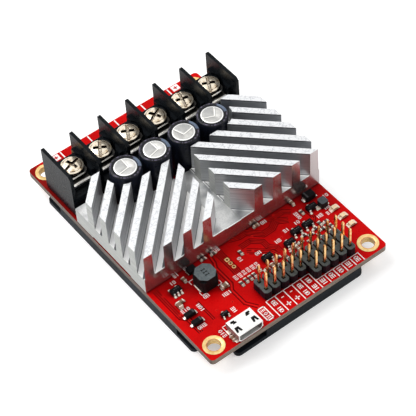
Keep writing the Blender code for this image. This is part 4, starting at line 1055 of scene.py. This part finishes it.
def data_port():
    """The shell keeps its solid; tabs, contacts and solder feet are added to it."""
    dress("data_port_shell", SHELL, 0.08 * MM)
    dress("data_port_tongue", BLACK_PLASTIC, 0.04 * MM)
    low, high, centre = span("data_port_shell")
    tongue_low, tongue_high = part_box("data_port_tongue")
    work = bmesh.new()
    rear = bmesh.new()
    for place in in_row(CONTACT_COUNT, CONTACT_PITCH):
        x = centre.x + place
        add_box(work, (x - 0.12 * MM, tongue_low.y + 0.1 * MM, tongue_high.z - 0.7 * MM),
                (x + 0.12 * MM, tongue_high.y - 1.2 * MM, tongue_high.z - 0.25 * MM), 0, 0.02 * MM)
        add_box(rear, (x - 0.17 * MM, high.y - 0.1 * MM, BOARD_TOP),
                (x + 0.17 * MM, high.y + 0.75 * MM, BOARD_TOP + 0.2 * MM), 0, 0.05 * MM)
    piece("data_port_contacts", work, [GOLD])
    feet = bmesh.new()
    for side, edge in zip(SIDES, (low.x, high.x)):
        for y, length in ((low.y + 0.9 * MM, 1.1 * MM), (high.y - 1.0 * MM, 1.3 * MM)):
            add_box(feet, (edge - side * 0.5 * MM, y - length / 2, BOARD_TOP),
                    (edge + side * 0.45 * MM, y + length / 2, BOARD_TOP + 0.16 * MM), 0, 0.06 * MM)
    piece("data_port_feet", feet, [SOLDER])
    port_windows(centre.x, low, high)
    piece("data_port_rear_contacts", rear, [SOLDER])


def port_windows(centre, low, high):
    """Latch windows and a notch at each rear corner, drawn as thin dark plates of painted shade on the
    shell; each window has a bent tab.
    """
    dark = bmesh.new()
    tabs = bmesh.new()
    level = high.z - 0.02 * MM
    for side in SIDES:
        place = shifted(centre + side * 2.35 * MM, low.y + 1.65 * MM)
        # painted shade: a dark plate where the shell is open
        add_prism(dark, from_millimetres(WINDOW), level, level + 0.03 * MM, 0, place)
        add_prism(tabs, from_millimetres(WINDOW_TAB), level, level + 0.05 * MM, 0, place)
        notch = from_millimetres((-side * u, v) for u, v in NOTCH)[::-side]
        add_prism(dark, notch, level, level + 0.03 * MM, 0,
                  shifted(centre + side * 2.0 * MM, high.y - 0.75 * MM))
    piece("data_port_window_shade", dark, [CHIP_PLASTIC], smooth=False)
    piece("data_port_tabs", tabs, [SHELL], smooth=False)


# Inductors

# the mark on the inductor's top: its signs, each of three bars as (middle, half length, half width)
MARK_SIGNS = 3
MARK_PITCH = 0.85
MARK_BARS = ((-0.45, 0.25, 0.09), (0.45, 0.25, 0.09), (0.0, 0.1, 0.35))
PAD_THICKNESS = 0.12 * MM


def inductors():
    dress("power_inductor", FERRITE, 0.1 * MM)
    dress("filter_inductor", SMALL_FERRITE, 0.12 * MM)
    _, high, centre = span("power_inductor")
    marks = bmesh.new()
    top = high.z - 0.01 * MM
    for x in in_row(MARK_SIGNS, MARK_PITCH):
        for middle, half_x, half_y in MARK_BARS:
            outline = rectangle(x - half_x, middle - half_y, x + half_x, middle + half_y)
            add_prism(marks, from_millimetres(outline), top, top + INK_RISE, 0,
                      shifted(centre.x, centre.y, turn=-90.0))
    piece("power_inductor_marks", marks, [CHIP_PLASTIC])
    pads = bmesh.new()
    small_low, small_high, small = span("filter_inductor")
    for middle, reach, half_x, front, back in (
            (centre, 2.1, 0.5, centre.y - 1.3 * MM, centre.y + 1.3 * MM),
            (small, 1.2, 0.35, small_low.y + 0.4 * MM, small_high.y - 0.4 * MM)):
        for side in SIDES:
            x = middle.x + side * reach * MM
            add_box(pads, (x - half_x * MM, front, BOARD_TOP),
                    (x + half_x * MM, back, BOARD_TOP + PAD_THICKNESS), 0, 0.05 * MM)
    piece("inductor_pads", pads, [SOLDER])


# Moulded diodes and legged chips

CROWN_DROP = 0.07 * MM
INLAY_SINK = 0.02 * MM
INLAY_RISE = 0.004 * MM
DIODE_END = 1.0 * MM
DIODE_PARTING = 0.45
DIODE_BANDS = (1, 1, -1)


def moulded_body(work, length, width, height, parting, chamfers, foot):
    """A body that tapers from its parting line to its top, and to its foot."""
    side, slope, cut = (value * MM for value in chamfers)
    crown = slope + CROWN_DROP
    outer = chamfered(length / 2, width / 2, side)
    upper = chamfered(length / 2 - slope, width / 2 - slope, cut)
    top = chamfered(length / 2 - crown, width / 2 - crown, cut)
    add_rings(work, [
        (upper, foot), (outer, parting), (upper, height - CROWN_DROP), (top, height)])


def moulded_diode(name, band_side):
    """A tapered body with a parting line, a cathode band and a folded tab at each end."""
    low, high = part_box(name)
    length = high.x - low.x - DIODE_END
    width = high.y - low.y
    height = high.z - low.z
    work = bmesh.new()
    parting = height * DIODE_PARTING
    moulded_body(work, length, width, height, parting, (0.06, 0.1, 0.1), 0.0)
    band = band_side * (length / 2 - 0.35 * MM)
    half = width / 2 - 0.18 * MM
    add_box(work, (band, -half, height - INLAY_SINK),
            (band - band_side * 0.4 * MM, half, height + INLAY_RISE), 1)
    for side, reach in ((-1, width * 0.27), (1, width * 0.42)):
        end = length / 2
        add_box(work, (side * (end - 0.1 * MM), -reach, 0.0),
                (side * (end + 0.48 * MM), reach, 0.12 * MM), 2, 0.02 * MM)
        add_box(work, (side * (end - 0.06 * MM), -reach, 0.05 * MM),
                (side * (end + 0.1 * MM), reach, parting), 2, 0.02 * MM)
    stand_in(name, work, [CHIP_PLASTIC, MARK_GREY, TINNED])


CHIP_LENGTH = 2.8
CHIP_WIDTH = 1.5
LEG_WIDTH = 0.42
LEG_REACH = 0.6
LEG_PITCH = 0.95
LEG_THICKNESS = 0.16 * MM
LEG_BEND = 0.14 * MM
CHIP_PARTING = 0.52
DOT_RADIUS = 0.13 * MM
CHIP_SIGNS = 3
CHIP_SIGN_PITCH = 0.55
SWITCH_COUNT = 4


def leg_outline(reach, rise, thick, bend):
    """Side view of a gull-wing leg, from the body outwards and back along its underside."""
    return [
        (-0.2 * MM, rise), (bend, rise), (bend + 0.1 * MM, rise - 0.05 * MM),
        (bend + 0.22 * MM, thick + 0.06 * MM), (bend + 0.28 * MM, thick), (reach, thick),
        (reach, 0.0), (bend + 0.18 * MM, 0.0), (bend + 0.08 * MM, 0.06 * MM),
        (bend - 0.02 * MM, rise - thick), (-0.2 * MM, rise - thick)]


def legged_chip(name, front_legs, back_legs, scale=1.0):
    """A tapered body with a corner dot, and bent legs along its two long sides."""
    low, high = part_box(name)
    unit = MM * scale
    length = CHIP_LENGTH * unit
    width = CHIP_WIDTH * unit
    height = high.z - low.z
    leg_width = LEG_WIDTH * unit
    work = bmesh.new()
    parting = height * CHIP_PARTING
    moulded_body(work, length, width, height, parting, (0.05, 0.08, 0.08), 0.1 * MM)
    dot = Matrix.Translation((-length / 2 + 0.5 * unit, -width / 2 + 0.42 * unit, height))
    add_turned(work, [(0.0, INLAY_RISE), (DOT_RADIUS, INLAY_RISE), (DOT_RADIUS, -INLAY_SINK),
                      (0.0, -INLAY_SINK)], 16, 1, dot)
    for index in range(CHIP_SIGNS):
        x = (index - 0.6) * CHIP_SIGN_PITCH * unit
        add_box(work, (x - 0.16 * MM, -0.05 * MM, height - INLAY_SINK),
                (x + 0.16 * MM, 0.22 * MM, height + INLAY_RISE), 1)
    reach = LEG_REACH * unit
    outline = leg_outline(reach, parting + LEG_THICKNESS / 2, LEG_THICKNESS, LEG_BEND)
    for side, places in zip(SIDES, (front_legs, back_legs)):
        for step in places:
            x = step * LEG_PITCH * unit
            # the leg's side view lies across X, with its length outwards
            across = Matrix(((0.0, 0.0, 1.0, x), (side, 0.0, 0.0, side * (width / 2 - 0.05 * MM)),
                             (0.0, 1.0, 0.0, 0.0), (0.0, 0.0, 0.0, 1.0)))
            add_prism(work, outline, -leg_width / 2, leg_width / 2, 2, across)
            foot = side * (width / 2 + reach - 0.12 * MM)
            add_box(work, (x - leg_width * 0.75, foot - 0.32 * MM, -0.1 * MM),
                    (x + leg_width * 0.75, foot + 0.3 * MM, -0.02 * MM), 3, 0.03 * MM)
    stand_in(name, work, [CHIP_PLASTIC, MARK_GREY, TINNED, SOLDER])


def leadless_chip(name):
    low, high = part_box(name)
    half = (high - low) / 2
    work = bmesh.new()
    add_box(work, (-half.x, -half.y, 0.0), (half.x, half.y, high.z - low.z), 0, 0.06 * MM)
    for y in in_row(3, 0.5 * MM):
        add_pair(work, (half.x - 0.2 * MM, y - 0.13 * MM, -0.1 * MM),
                 (half.x + 0.25 * MM, y + 0.13 * MM, 0.08 * MM), 1, 0.03 * MM)
    stand_in(name, work, [CHIP_PLASTIC, SOLDER])


THREE_LEGS = ((-1, 1), (0,))
FIVE_LEGS = ((-1, 0, 1), (-1, 1))


def moulded_parts():
    for number, band_side in enumerate(DIODE_BANDS, 1):
        moulded_diode(f"diode_{number}", band_side)
    legged_chip("regulator_chip", *FIVE_LEGS)
    legged_chip("logic_chip", *THREE_LEGS)
    legged_chip("port_chip", *THREE_LEGS, scale=0.72)
    for number in range(1, SWITCH_COUNT + 1):
        legged_chip(f"switch_chip_{number}", *THREE_LEGS)
    leadless_chip("driver_chip")


LIGHT_COUNT = 3


def notched_end(half_x, half_y, notch):
    """Plan of a light's base: a rectangle with a round notch in the middle of each end."""
    right = [(half_x, -half_y)]
    right.extend((half_x - notch * math.cos(math.radians(turn)), notch * math.sin(math.radians(turn)))
                 for turn in range(-90, 91, 30))
    right.append((half_x, half_y))
    return right + [(-x, -y) for x, y in right]


def status_lights():
    """A base with notched plated ends on white pads, and a flat cream lens."""
    for number in range(1, LIGHT_COUNT + 1):
        name = f"status_light_{number}"
        low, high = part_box(name)
        size = high - low
        half_x = size.x / 2
        half_y = size.y / 2 - 0.02 * MM
        work = bmesh.new()
        add_prism(work, notched_end(half_x, half_y, 0.3 * MM), 0.0, 0.3 * MM)
        add_pair(work, (half_x - 0.3 * MM, -half_y, -0.08 * MM),
                 (half_x + 0.28 * MM, half_y, 0.05 * MM), 1, 0.03 * MM)
        for aside in SIDES:
            add_pair(work, (half_x - 0.4 * MM, aside * 0.3 * MM, 0.02 * MM),
                     (half_x + 0.02 * MM, aside * half_y, 0.36 * MM), 1, 0.03 * MM)
        lens_x = size.x * 0.32
        add_box(work, (-lens_x, -half_y, 0.2 * MM), (lens_x, half_y, size.z - 0.2 * MM), 2, 0.03 * MM)
        stand_in(name, work, [CREAM_BODY, SOLDER, LENS], smooth=False)


# Chip resistors and capacitors: place in millimetres, turn in degrees

RESISTORS = (
    (18.7, 12.8, 90), (20.06, 12.95, 90), (21.3, 12.9, 90), (22.5, 12.9, 90),
    (24.1, 20.1, 90), (42.85, 20.4, 90), (24.4, 13.6, 90), (25.7, 12.4, 0),
    (29.9, 13.4, 0), (31.6, 12.3, 90), (33.4, 12.3, 90), (36.9, 13.6, 0), (38.6, 12.2, 90),
    (40.3, 13.8, 0), (41.6, 12.3, 90), (43.4, 13.4, 0), (45.6, 12.8, 90), (45.4, 14.6, 0),
    (28.6, 12.2, 90), (34.5, 14.4, 90), (38.7, 14.6, 0), (42.0, 14.5, 0), (44.0, 15.0, 90),
    (16.2, 24.2, 0), (19.0, 24.0, 0))
CERAMICS = (
    (9.0, 22.2, 90), (4.7, 17.6, 0), (31.9, 24.1, 0), (42.8, 24.0, 90),
    (7.5, 2.0, 90), (27.4, 12.3, 90), (35.2, 12.6, 90), (44.3, 12.2, 90))
LARGE_CERAMICS = ((15.1, 14.7, 0), (3.7, 16.9, 90))
# name, places, length, width and height in millimetres, and body material of each kind
CHIP_KINDS = (
    ("chip_resistors", RESISTORS, (1.2, 0.68, 0.4), 0),
    ("chip_capacitors", CERAMICS, (1.3, 0.75, 0.6), 1),
    ("large_chip_capacitors", LARGE_CERAMICS, (1.7, 1.05, 0.95), 1))


def chip_part(work, x, y, turn, size, body):
    """A small two-ended part with metal ends and solder at its feet; three forms in one mesh."""
    length, width, height = (value * MM for value in size)
    place = Matrix.Translation(at(x, y)) @ Matrix.Rotation(math.radians(turn), 4, "Z")
    end = length * 0.22
    half = length / 2
    lift = 0.04 * MM
    add_box(work, (-half + end * 0.8, -width / 2, lift), (half - end * 0.8, width / 2, height),
            body, 0.03 * MM, place)
    # reach past the end, growth in width, lower and upper level, and rounding
    forms = ((0.0, 0.02, lift, height + 0.02 * MM, 0.04), (0.3, 0.05, 0.0, 0.12 * MM, 0.05),
             (0.14, -0.02, 0.0, height * 0.5, 0.06))
    for reach, grown, lower, upper, rounding in forms:
        aside = width / 2 + grown * MM
        add_pair(work, (half - end, -aside, lower), (half + reach * MM, aside, upper), 3,
                 rounding * MM, place)


def chip_parts():
    for name, places, size, body in CHIP_KINDS:
        work = bmesh.new()
        for x, y, turn in places:
            chip_part(work, x, y, turn, size, body)
        piece(name, work, [RESISTOR_BODY, CAPACITOR_BODY, CREAM_BODY, SOLDER])


# Tracks, vias and printed marks

def add_track(work, points, width, rise):
    """A flat strip along the points, with a round pad at each bend."""
    half = width * MM / 2
    for start, end in zip(points, points[1:]):
        here = at(*start)
        along = at(*end) - here
        place = Matrix.Translation((here.x, here.y, 0.0)) @ Matrix.Rotation(
            math.atan2(along.y, along.x), 4, "Z")
        add_prism(work, rectangle(0.0, -half, along.length, half), BOARD_TOP, BOARD_TOP + rise, 0,
                  place)
    for point in points[1:-1]:
        centre = at(*point)
        add_prism(work, arc(centre.x, centre.y, half, 0.0, 330.0, 11), BOARD_TOP, BOARD_TOP + rise)


def offset_lines(points, count, step, first=0.0):
    """Copies of a polyline, each set off sideways from the last by the step, with mitred bends."""
    for number in range(count):
        shift = first + number * step
        moved = []
        for index, point in enumerate(points):
            before = Vector(points[max(index - 1, 0)])
            after = Vector(points[min(index + 1, len(points) - 1)])
            here = Vector(point)
            coming = (here - before) if index else (after - here)
            going = (after - here) if index < len(points) - 1 else (here - before)
            coming.normalize()
            going.normalize()
            side = Vector((-coming.y, coming.x)) + Vector((-going.y, going.x))
            side.normalize()
            stretch = max(0.5, side.dot(Vector((-coming.y, coming.x))))
            moved.append(tuple(here + side * shift / stretch))
        yield moved


# points of the first track of each bundle, how many tracks it has, and the step between them
BUNDLES = (
    (((18.6, 25.6), (18.0, 21.7), (17.3, 20.3), (17.3, 14.4), (16.2, 12.8), (16.2, 8.2),
      (17.9, 5.6)), 1, -0.8),
    (((21.0, 25.2), (21.0, 17.0), (20.9, 15.8)), 4, -0.45),
    (((24.0, 24.4), (26.6, 23.4), (28.4, 23.4), (31.4, 20.3), (34.6, 20.3), (36.4, 21.4),
      (38.6, 20.0)), 4, 0.42),
    (((25.0, 20.9), (27.8, 20.9), (29.6, 19.2), (29.6, 17.2), (31.0, 15.8), (31.0, 14.6)), 3, 0.42),
    (((33.0, 24.6), (36.0, 22.9), (39.4, 22.9), (40.6, 21.8)), 3, 0.42),
    (((39.6, 16.0), (43.2, 16.0), (44.6, 17.4), (44.6, 20.0)), 2, 0.42),
    (((7.4, 15.4), (7.4, 9.0)), 1, 0.45),
    (((26.0, 20.2), (30.4, 16.4), (31.2, 14.2)), 3, -0.5),
    (((1.4, 24.0), (1.4, 14.0), (2.6, 12.6), (2.6, 8.0)), 2, 0.5))
TRACK_WIDTH = 0.18
CLEARANCE_WIDTH = 0.24
VIAS = (
    (37.2, 24.1), (26.7, 18.8), (25.2, 19.0), (12.9, 12.1), (3.0, 12.4), (2.2, 14.8), (6.4, 13.2),
    (46.9, 13.6), (46.9, 10.4), (34.4, 17.6), (29.2, 22.3), (43.6, 17.4), (48.6, 14.6), (9.6, 10.6),
    (13.8, 10.2), (2.4, 21.6), (7.0, 19.6), (21.6, 8.6))


def add_disc(work, radius, level, steps, place):
    """A thin round plate from the board up to the level."""
    add_turned(work, [(0.0, level), (radius, level), (radius, 0.0), (0.0, 0.0)], steps, 0, place)


def tracks():
    """Tracks under the mask: a dark clearance with a lighter track along its middle."""
    dark = bmesh.new()
    light = bmesh.new()
    for points, count, step in BUNDLES:
        for line in offset_lines(points, count + 1, step):
            add_track(dark, line, CLEARANCE_WIDTH, 0.006 * MM)
        for line in offset_lines(points, count, step, step / 2):
            add_track(light, line, TRACK_WIDTH, 0.016 * MM)
    piece("track_clearances", dark, [SUNK_MASK], smooth=False)
    piece("tracks", light, [RAISED_MASK], smooth=False)
    rings = bmesh.new()
    holes = bmesh.new()
    for x, y in VIAS:
        centre = Matrix.Translation(at(x, y))
        add_turned(rings, from_millimetres([(0.12, 0.0), (0.12, 0.02), (0.3, 0.02), (0.34, 0.0)]), 20,
                   0, centre, True)
        add_disc(holes, 0.16 * MM, 0.012 * MM, 16, centre)
    piece("via_rings", rings, [RAISED_MASK])
    piece("via_holes", holes, [SUNK_MASK])


PLATED_VIAS = ((20.4, 20.6), (20.4, 19.3), (20.4, 18.0))


def plated_vias():
    """Three plated holes in a row, each shown as a dark disc of painted shade; the first has a square
    pad.
    """
    work = bmesh.new()
    dark = bmesh.new()
    outer = 0.5 * MM
    for index, (x, y) in enumerate(PLATED_VIAS):
        place = Matrix.Translation(at(x, y))
        if index == 0:
            add_prism(work, chamfered(outer, outer, 0.02 * MM), 0.0, PAD_RISE, 0, place)
        else:
            add_turned(work, [(0.22 * MM, 0.0), (0.22 * MM, PAD_RISE), (outer - 0.03 * MM, PAD_RISE),
                              (outer, 0.0)], 28, 0, place, True)
        # painted shade: a dark disc stands for the open hole
        add_disc(dark, 0.32 * MM, PAD_RISE + 0.004 * MM, 20, place)
    piece("plated_vias", work, [GOLD])
    piece("plated_via_hole_shade", dark, [SUNK_MASK])


def add_bar(work, x0, y0, x1, y1, rise=INK_RISE):
    low = at(min(x0, x1), min(y0, y1))
    high = at(max(x0, x1), max(y0, y1))
    add_prism(work, rectangle(low.x, low.y, high.x, high.y), BOARD_TOP, BOARD_TOP + rise)


def add_frame(work, x0, y0, x1, y1, line):
    for sides in ((x0, y0, x1, y0 + line), (x0, y1 - line, x1, y1), (x0, y0, x0 + line, y1),
                  (x1 - line, y0, x1, y1)):
        add_bar(work, *sides)


def add_line(work, start, end, width):
    add_track(work, (start, end), width, INK_RISE)


def add_sign(work, x, y, turn, kind, size=0.98):
    """One small plain sign made of strokes: a ring, a bar, two bars, a cross or a dash."""
    place = Matrix.Translation(at(x, y)) @ Matrix.Rotation(math.radians(turn), 4, "Z")
    half = size * MM / 2
    stroke = size * 0.2 * MM
    slim = half * 0.68
    left = (-slim, -half, -slim + stroke, half)
    right = (slim - stroke, -half, slim, half)
    front = (-slim, -half, slim, -half + stroke)
    back = (-slim, half - stroke, slim, half)
    upright = (-stroke / 2, -half, stroke / 2, half)
    dash = (-slim, -stroke / 2, slim, stroke / 2)
    bars = {
        "ring": (front, back, left, right), "bar": (upright,), "bars": (left, right),
        "rungs": (front, back, dash), "cross": (upright, (-half, -stroke / 2, half, stroke / 2)),
        "dash": (dash,),
    }[kind]
    for corners in bars:
        add_prism(work, rectangle(*corners), 0.0, INK_RISE, 0, place)


SIGN_ORDER = ("ring", "bars", "rungs", "bar")
# place of each printed tag beside a part, its turn, and how many signs it has
TAGS = (
    (19.9, 24.5, 0, 3), (11.3, 24.6, 90, 2), (8.4, 24.6, 0, 2), (6.5, 23.3, 0, 2), (10.2, 15.3, 0, 2),
    (14.4, 12.9, 0, 3), (4.1, 15.2, 0, 3), (7.2, 13.6, 90, 3), (4.3, 9.2, 0, 3), (12.7, 8.3, 90, 2),
    (6.6, 4.6, 90, 3), (22.8, 18.7, 90, 2), (27.2, 17.5, 0, 2), (33.1, 17.3, 0, 2), (36.6, 18.6, 0, 2),
    (40.0, 18.8, 0, 2), (41.5, 20.3, 90, 3), (45.6, 16.9, 0, 2), (47.9, 16.3, 0, 2), (50.6, 20.9, 0, 2),
    (34.0, 24.0, 0, 2), (48.6, 17.9, 0, 2))
TAG_STEP = 0.8
RESISTOR_TAGS = (18.7, 19.93, 21.16, 22.39, 23.62, 24.85)
HEADER_LINES = (19.7, 22.24, 24.78, 27.32, 29.86, 32.4)
LONG_HEADER_LINES = (34.94, 37.48, 40.02, 42.56, 45.1)
SHORT_LABEL_BACK = 5.3
LONG_LABEL_BACK = 2.8
# corner lines round the power inductor: the corner, and the run along each side
INDUCTOR_CORNERS = (
    (9.6, 16.0, 1.2, 1.2), (15.3, 16.0, -1.2, 1.2), (9.6, 21.2, 1.2, -1.2), (15.3, 21.2, -1.2, -1.2))


def printed_marks():
    """White ink: frames, dividing lines and small plain signs."""
    work = bmesh.new()
    for number, (x, y, turn, count) in enumerate(TAGS):
        step = Vector((TAG_STEP, 0.0))
        step.rotate(Matrix.Rotation(math.radians(turn), 2))
        for index in range(count):
            spot = Vector((x, y)) + step * (index - (count - 1) / 2)
            add_sign(work, spot.x, spot.y, turn, SIGN_ORDER[(number + index) % len(SIGN_ORDER)])
    for index, x in enumerate(RESISTOR_TAGS):
        for row, y in enumerate((14.7, 15.5)):
            add_sign(work, x, y, 90, SIGN_ORDER[(index + row) % 3], 0.84)
    for lines, back in ((HEADER_LINES, SHORT_LABEL_BACK), (LONG_HEADER_LINES, LONG_LABEL_BACK)):
        for x in lines:
            add_line(work, (x, 0.1), (x, back), 0.24)
    add_line(work, (HEADER_LINES[0], SHORT_LABEL_BACK), (HEADER_LINES[-1], SHORT_LABEL_BACK), 0.15)
    level = LONG_LABEL_BACK - 0.1
    add_line(work, (HEADER_LINES[-1], level), (LONG_HEADER_LINES[-1], level), 0.15)
    header_signs(work)
    add_frame(work, 16.6, 0.65, 18.6, 4.8, 0.3)
    for y, kind in ((1.6, "bars"), (2.7, "ring"), (3.8, "rungs")):
        add_sign(work, 17.6, y, 90, kind, 1.0)
    for x, y, run_x, run_y in INDUCTOR_CORNERS:
        add_line(work, (x, y), (x + run_x, y), 0.16)
        add_line(work, (x, y), (x, y + run_y), 0.16)
    # lines beside the port
    add_line(work, (7.6, 2.9), (7.6, 6.0), 0.18)
    add_line(work, (7.6, 6.0), (8.9, 6.0), 0.15)
    piece("printed_marks", work, [WHITE_INK], smooth=False)
    terminal_marks()


def header_signs(work):
    """Signs in the cells in front of the pins: minus behind plus in the two supply cells."""
    for index, (left, right) in enumerate(zip(HEADER_LINES, HEADER_LINES[1:])):
        x = (left + right) / 2
        if index in (1, 2):
            add_sign(work, x, 1.6, 0, "cross", 1.3)
            add_sign(work, x, 3.9, 0, "dash", 1.0)
        else:
            for row, y in enumerate((1.0, 1.75, 3.4, 4.15)):
                add_sign(work, x, y, 90, SIGN_ORDER[(index + row) % 3], 1.1)
    long_cells = zip((HEADER_LINES[-1], *LONG_HEADER_LINES), LONG_HEADER_LINES)
    for index, (left, right) in enumerate(long_cells):
        for row, y in enumerate((1.05, 1.85)):
            add_sign(work, (left + right) / 2, y, 90, SIGN_ORDER[(index + row + 1) % 3], 1.2)


TERMINAL_TICKS = (9.5, 17.75, 26.0, 34.25, 42.5)
TERMINAL_FRAMES = ((6.7, 8.6), (43.5, 45.6))
SIGN_LEVEL = 72.85


def terminal_marks():
    """Ticks between the ways behind the terminal block, and a framed sign at each end."""
    work = bmesh.new()
    for x in TERMINAL_TICKS:
        add_bar(work, x - 0.17, 71.6, x + 0.17, 73.8)
    signs = bmesh.new()
    for left, right in TERMINAL_FRAMES:
        add_bar(work, left, 71.9, right, 73.8)
        middle = (left + right) / 2
        for half in (0.55, 0.16):
            reach = 0.71 - half
            add_bar(signs, middle - half, SIGN_LEVEL - reach, middle + half, SIGN_LEVEL + reach,
                    INK_RISE + half * 0.02 * MM)
    piece("terminal_marks", work, [WHITE_INK], smooth=False)
    piece("terminal_signs", signs, [RED_MASK], smooth=False)


# Stage, lamps and camera

FLOOR_GLOW = 0.4
DOME_DIRECTION = (0.3, 0.62, 0.72)
DOME_LOW = 0.1
DOME_HIGH = 0.95


def studio_floor():
    """A pale floor that shows pure white to the camera and to mirrors, and keeps the shadow."""
    work = bmesh.new()
    bmesh.ops.create_grid(work, x_segments=8, y_segments=8, size=3.0)
    mesh = bpy.data.meshes.new("studio_floor")
    work.to_mesh(mesh)
    work.free()
    look = Look("pale_floor", (0.8, 0.8, 0.8, 1.0), 0.9)
    look.set("Specular IOR Level", 0.0)
    look.set("Emission Color", WHITE)
    look.set("Emission Strength", look.times(look.white_share(), FLOOR_GLOW))
    mesh.materials.append(look.material)
    item = bpy.data.objects.new("studio_floor", mesh)
    item.location.z = CAD_BOX[0].z - 0.02 * MM
    bpy.context.scene.collection.objects.link(item)


def studio_world():
    """White to the camera and to mirrors; a soft dome, brightest behind the module, lights the rest."""
    world = bpy.data.worlds.new("studio")
    world.use_nodes = True
    world.node_tree.nodes.clear()
    nodes = Nodes(world.node_tree)
    white = nodes.node("ShaderNodeBackground", {"Color": WHITE, "Strength": 1.0})
    place = nodes.node("ShaderNodeTexCoord").outputs["Generated"]
    toward = nodes.vectors("DOT_PRODUCT", place, DOME_DIRECTION, "Value")
    strength = nodes.fade(toward, -0.5, 0.9, DOME_LOW, DOME_HIGH)
    dome = nodes.node("ShaderNodeBackground", {"Strength": strength})
    mix = nodes.node("ShaderNodeMixShader", {
        0: nodes.white_share(), 1: dome.outputs[0], 2: white.outputs[0]})
    nodes.node("ShaderNodeOutputWorld", {"Surface": mix.outputs[0]})
    bpy.context.scene.world = world


def lamp(name, place, size, power):
    """A round lamp that faces the middle of the tray's underside."""
    light = bpy.data.lights.new(name, "AREA")
    light.shape = "DISK"
    light.size = size
    light.energy = power
    item = bpy.data.objects.new(name, light)
    item.location = place
    item.rotation_euler = (-Vector(place)).to_track_quat("-Z", "Y").to_euler()
    bpy.context.scene.collection.objects.link(item)


CAMERA_AZIMUTH = math.radians(-34.1827)
CAMERA_ELEVATION = math.radians(50.1404)
CAMERA_ROLL = math.radians(-4.5189)
CAMERA_PLACE = (-0.1489773, -0.2213283, 0.3240092)
FOCAL_PIXELS = 1734.07
IMAGE_PIXELS = 416
SENSOR_WIDTH = 36.0


def camera():
    flat = math.cos(CAMERA_ELEVATION)
    back = Vector((math.sin(CAMERA_AZIMUTH) * flat, -math.cos(CAMERA_AZIMUTH) * flat,
                   math.sin(CAMERA_ELEVATION)))
    level = Vector((math.cos(CAMERA_AZIMUTH), math.sin(CAMERA_AZIMUTH), 0.0))
    upright = back.cross(level)
    right = level * math.cos(CAMERA_ROLL) + upright * math.sin(CAMERA_ROLL)
    up = upright * math.cos(CAMERA_ROLL) - level * math.sin(CAMERA_ROLL)
    data = bpy.data.cameras.new("photo_view")
    data.sensor_width = SENSOR_WIDTH
    data.lens = SENSOR_WIDTH * FOCAL_PIXELS / IMAGE_PIXELS
    data.clip_start = 0.01
    data.clip_end = 20.0
    item = bpy.data.objects.new("photo_view", data)
    matrix = Matrix((right, up, back)).transposed().to_4x4()
    matrix.translation = CAMERA_PLACE
    item.matrix_world = matrix
    bpy.context.scene.collection.objects.link(item)
    bpy.context.scene.camera = item


board_and_tray()
mount_rings()
capacitors()
terminal_parts()
pin_header("header_two_row", 2)
pin_header("header_three_row", 3)
data_port()
inductors()
moulded_parts()
status_lights()
chip_parts()
tracks()
plated_vias()
printed_marks()

studio_floor()
studio_world()
lamp("key_lamp", (-0.2, 0.4, 0.6), 0.6, 2.6)
lamp("side_lamp", (-0.55, 0.3, 0.35), 0.5, 1.9)
lamp("front_lamp", (0.5, -0.35, 0.5), 0.4, 1.2)
camera()
bpy.context.scene.view_settings.view_transform = "Standard"
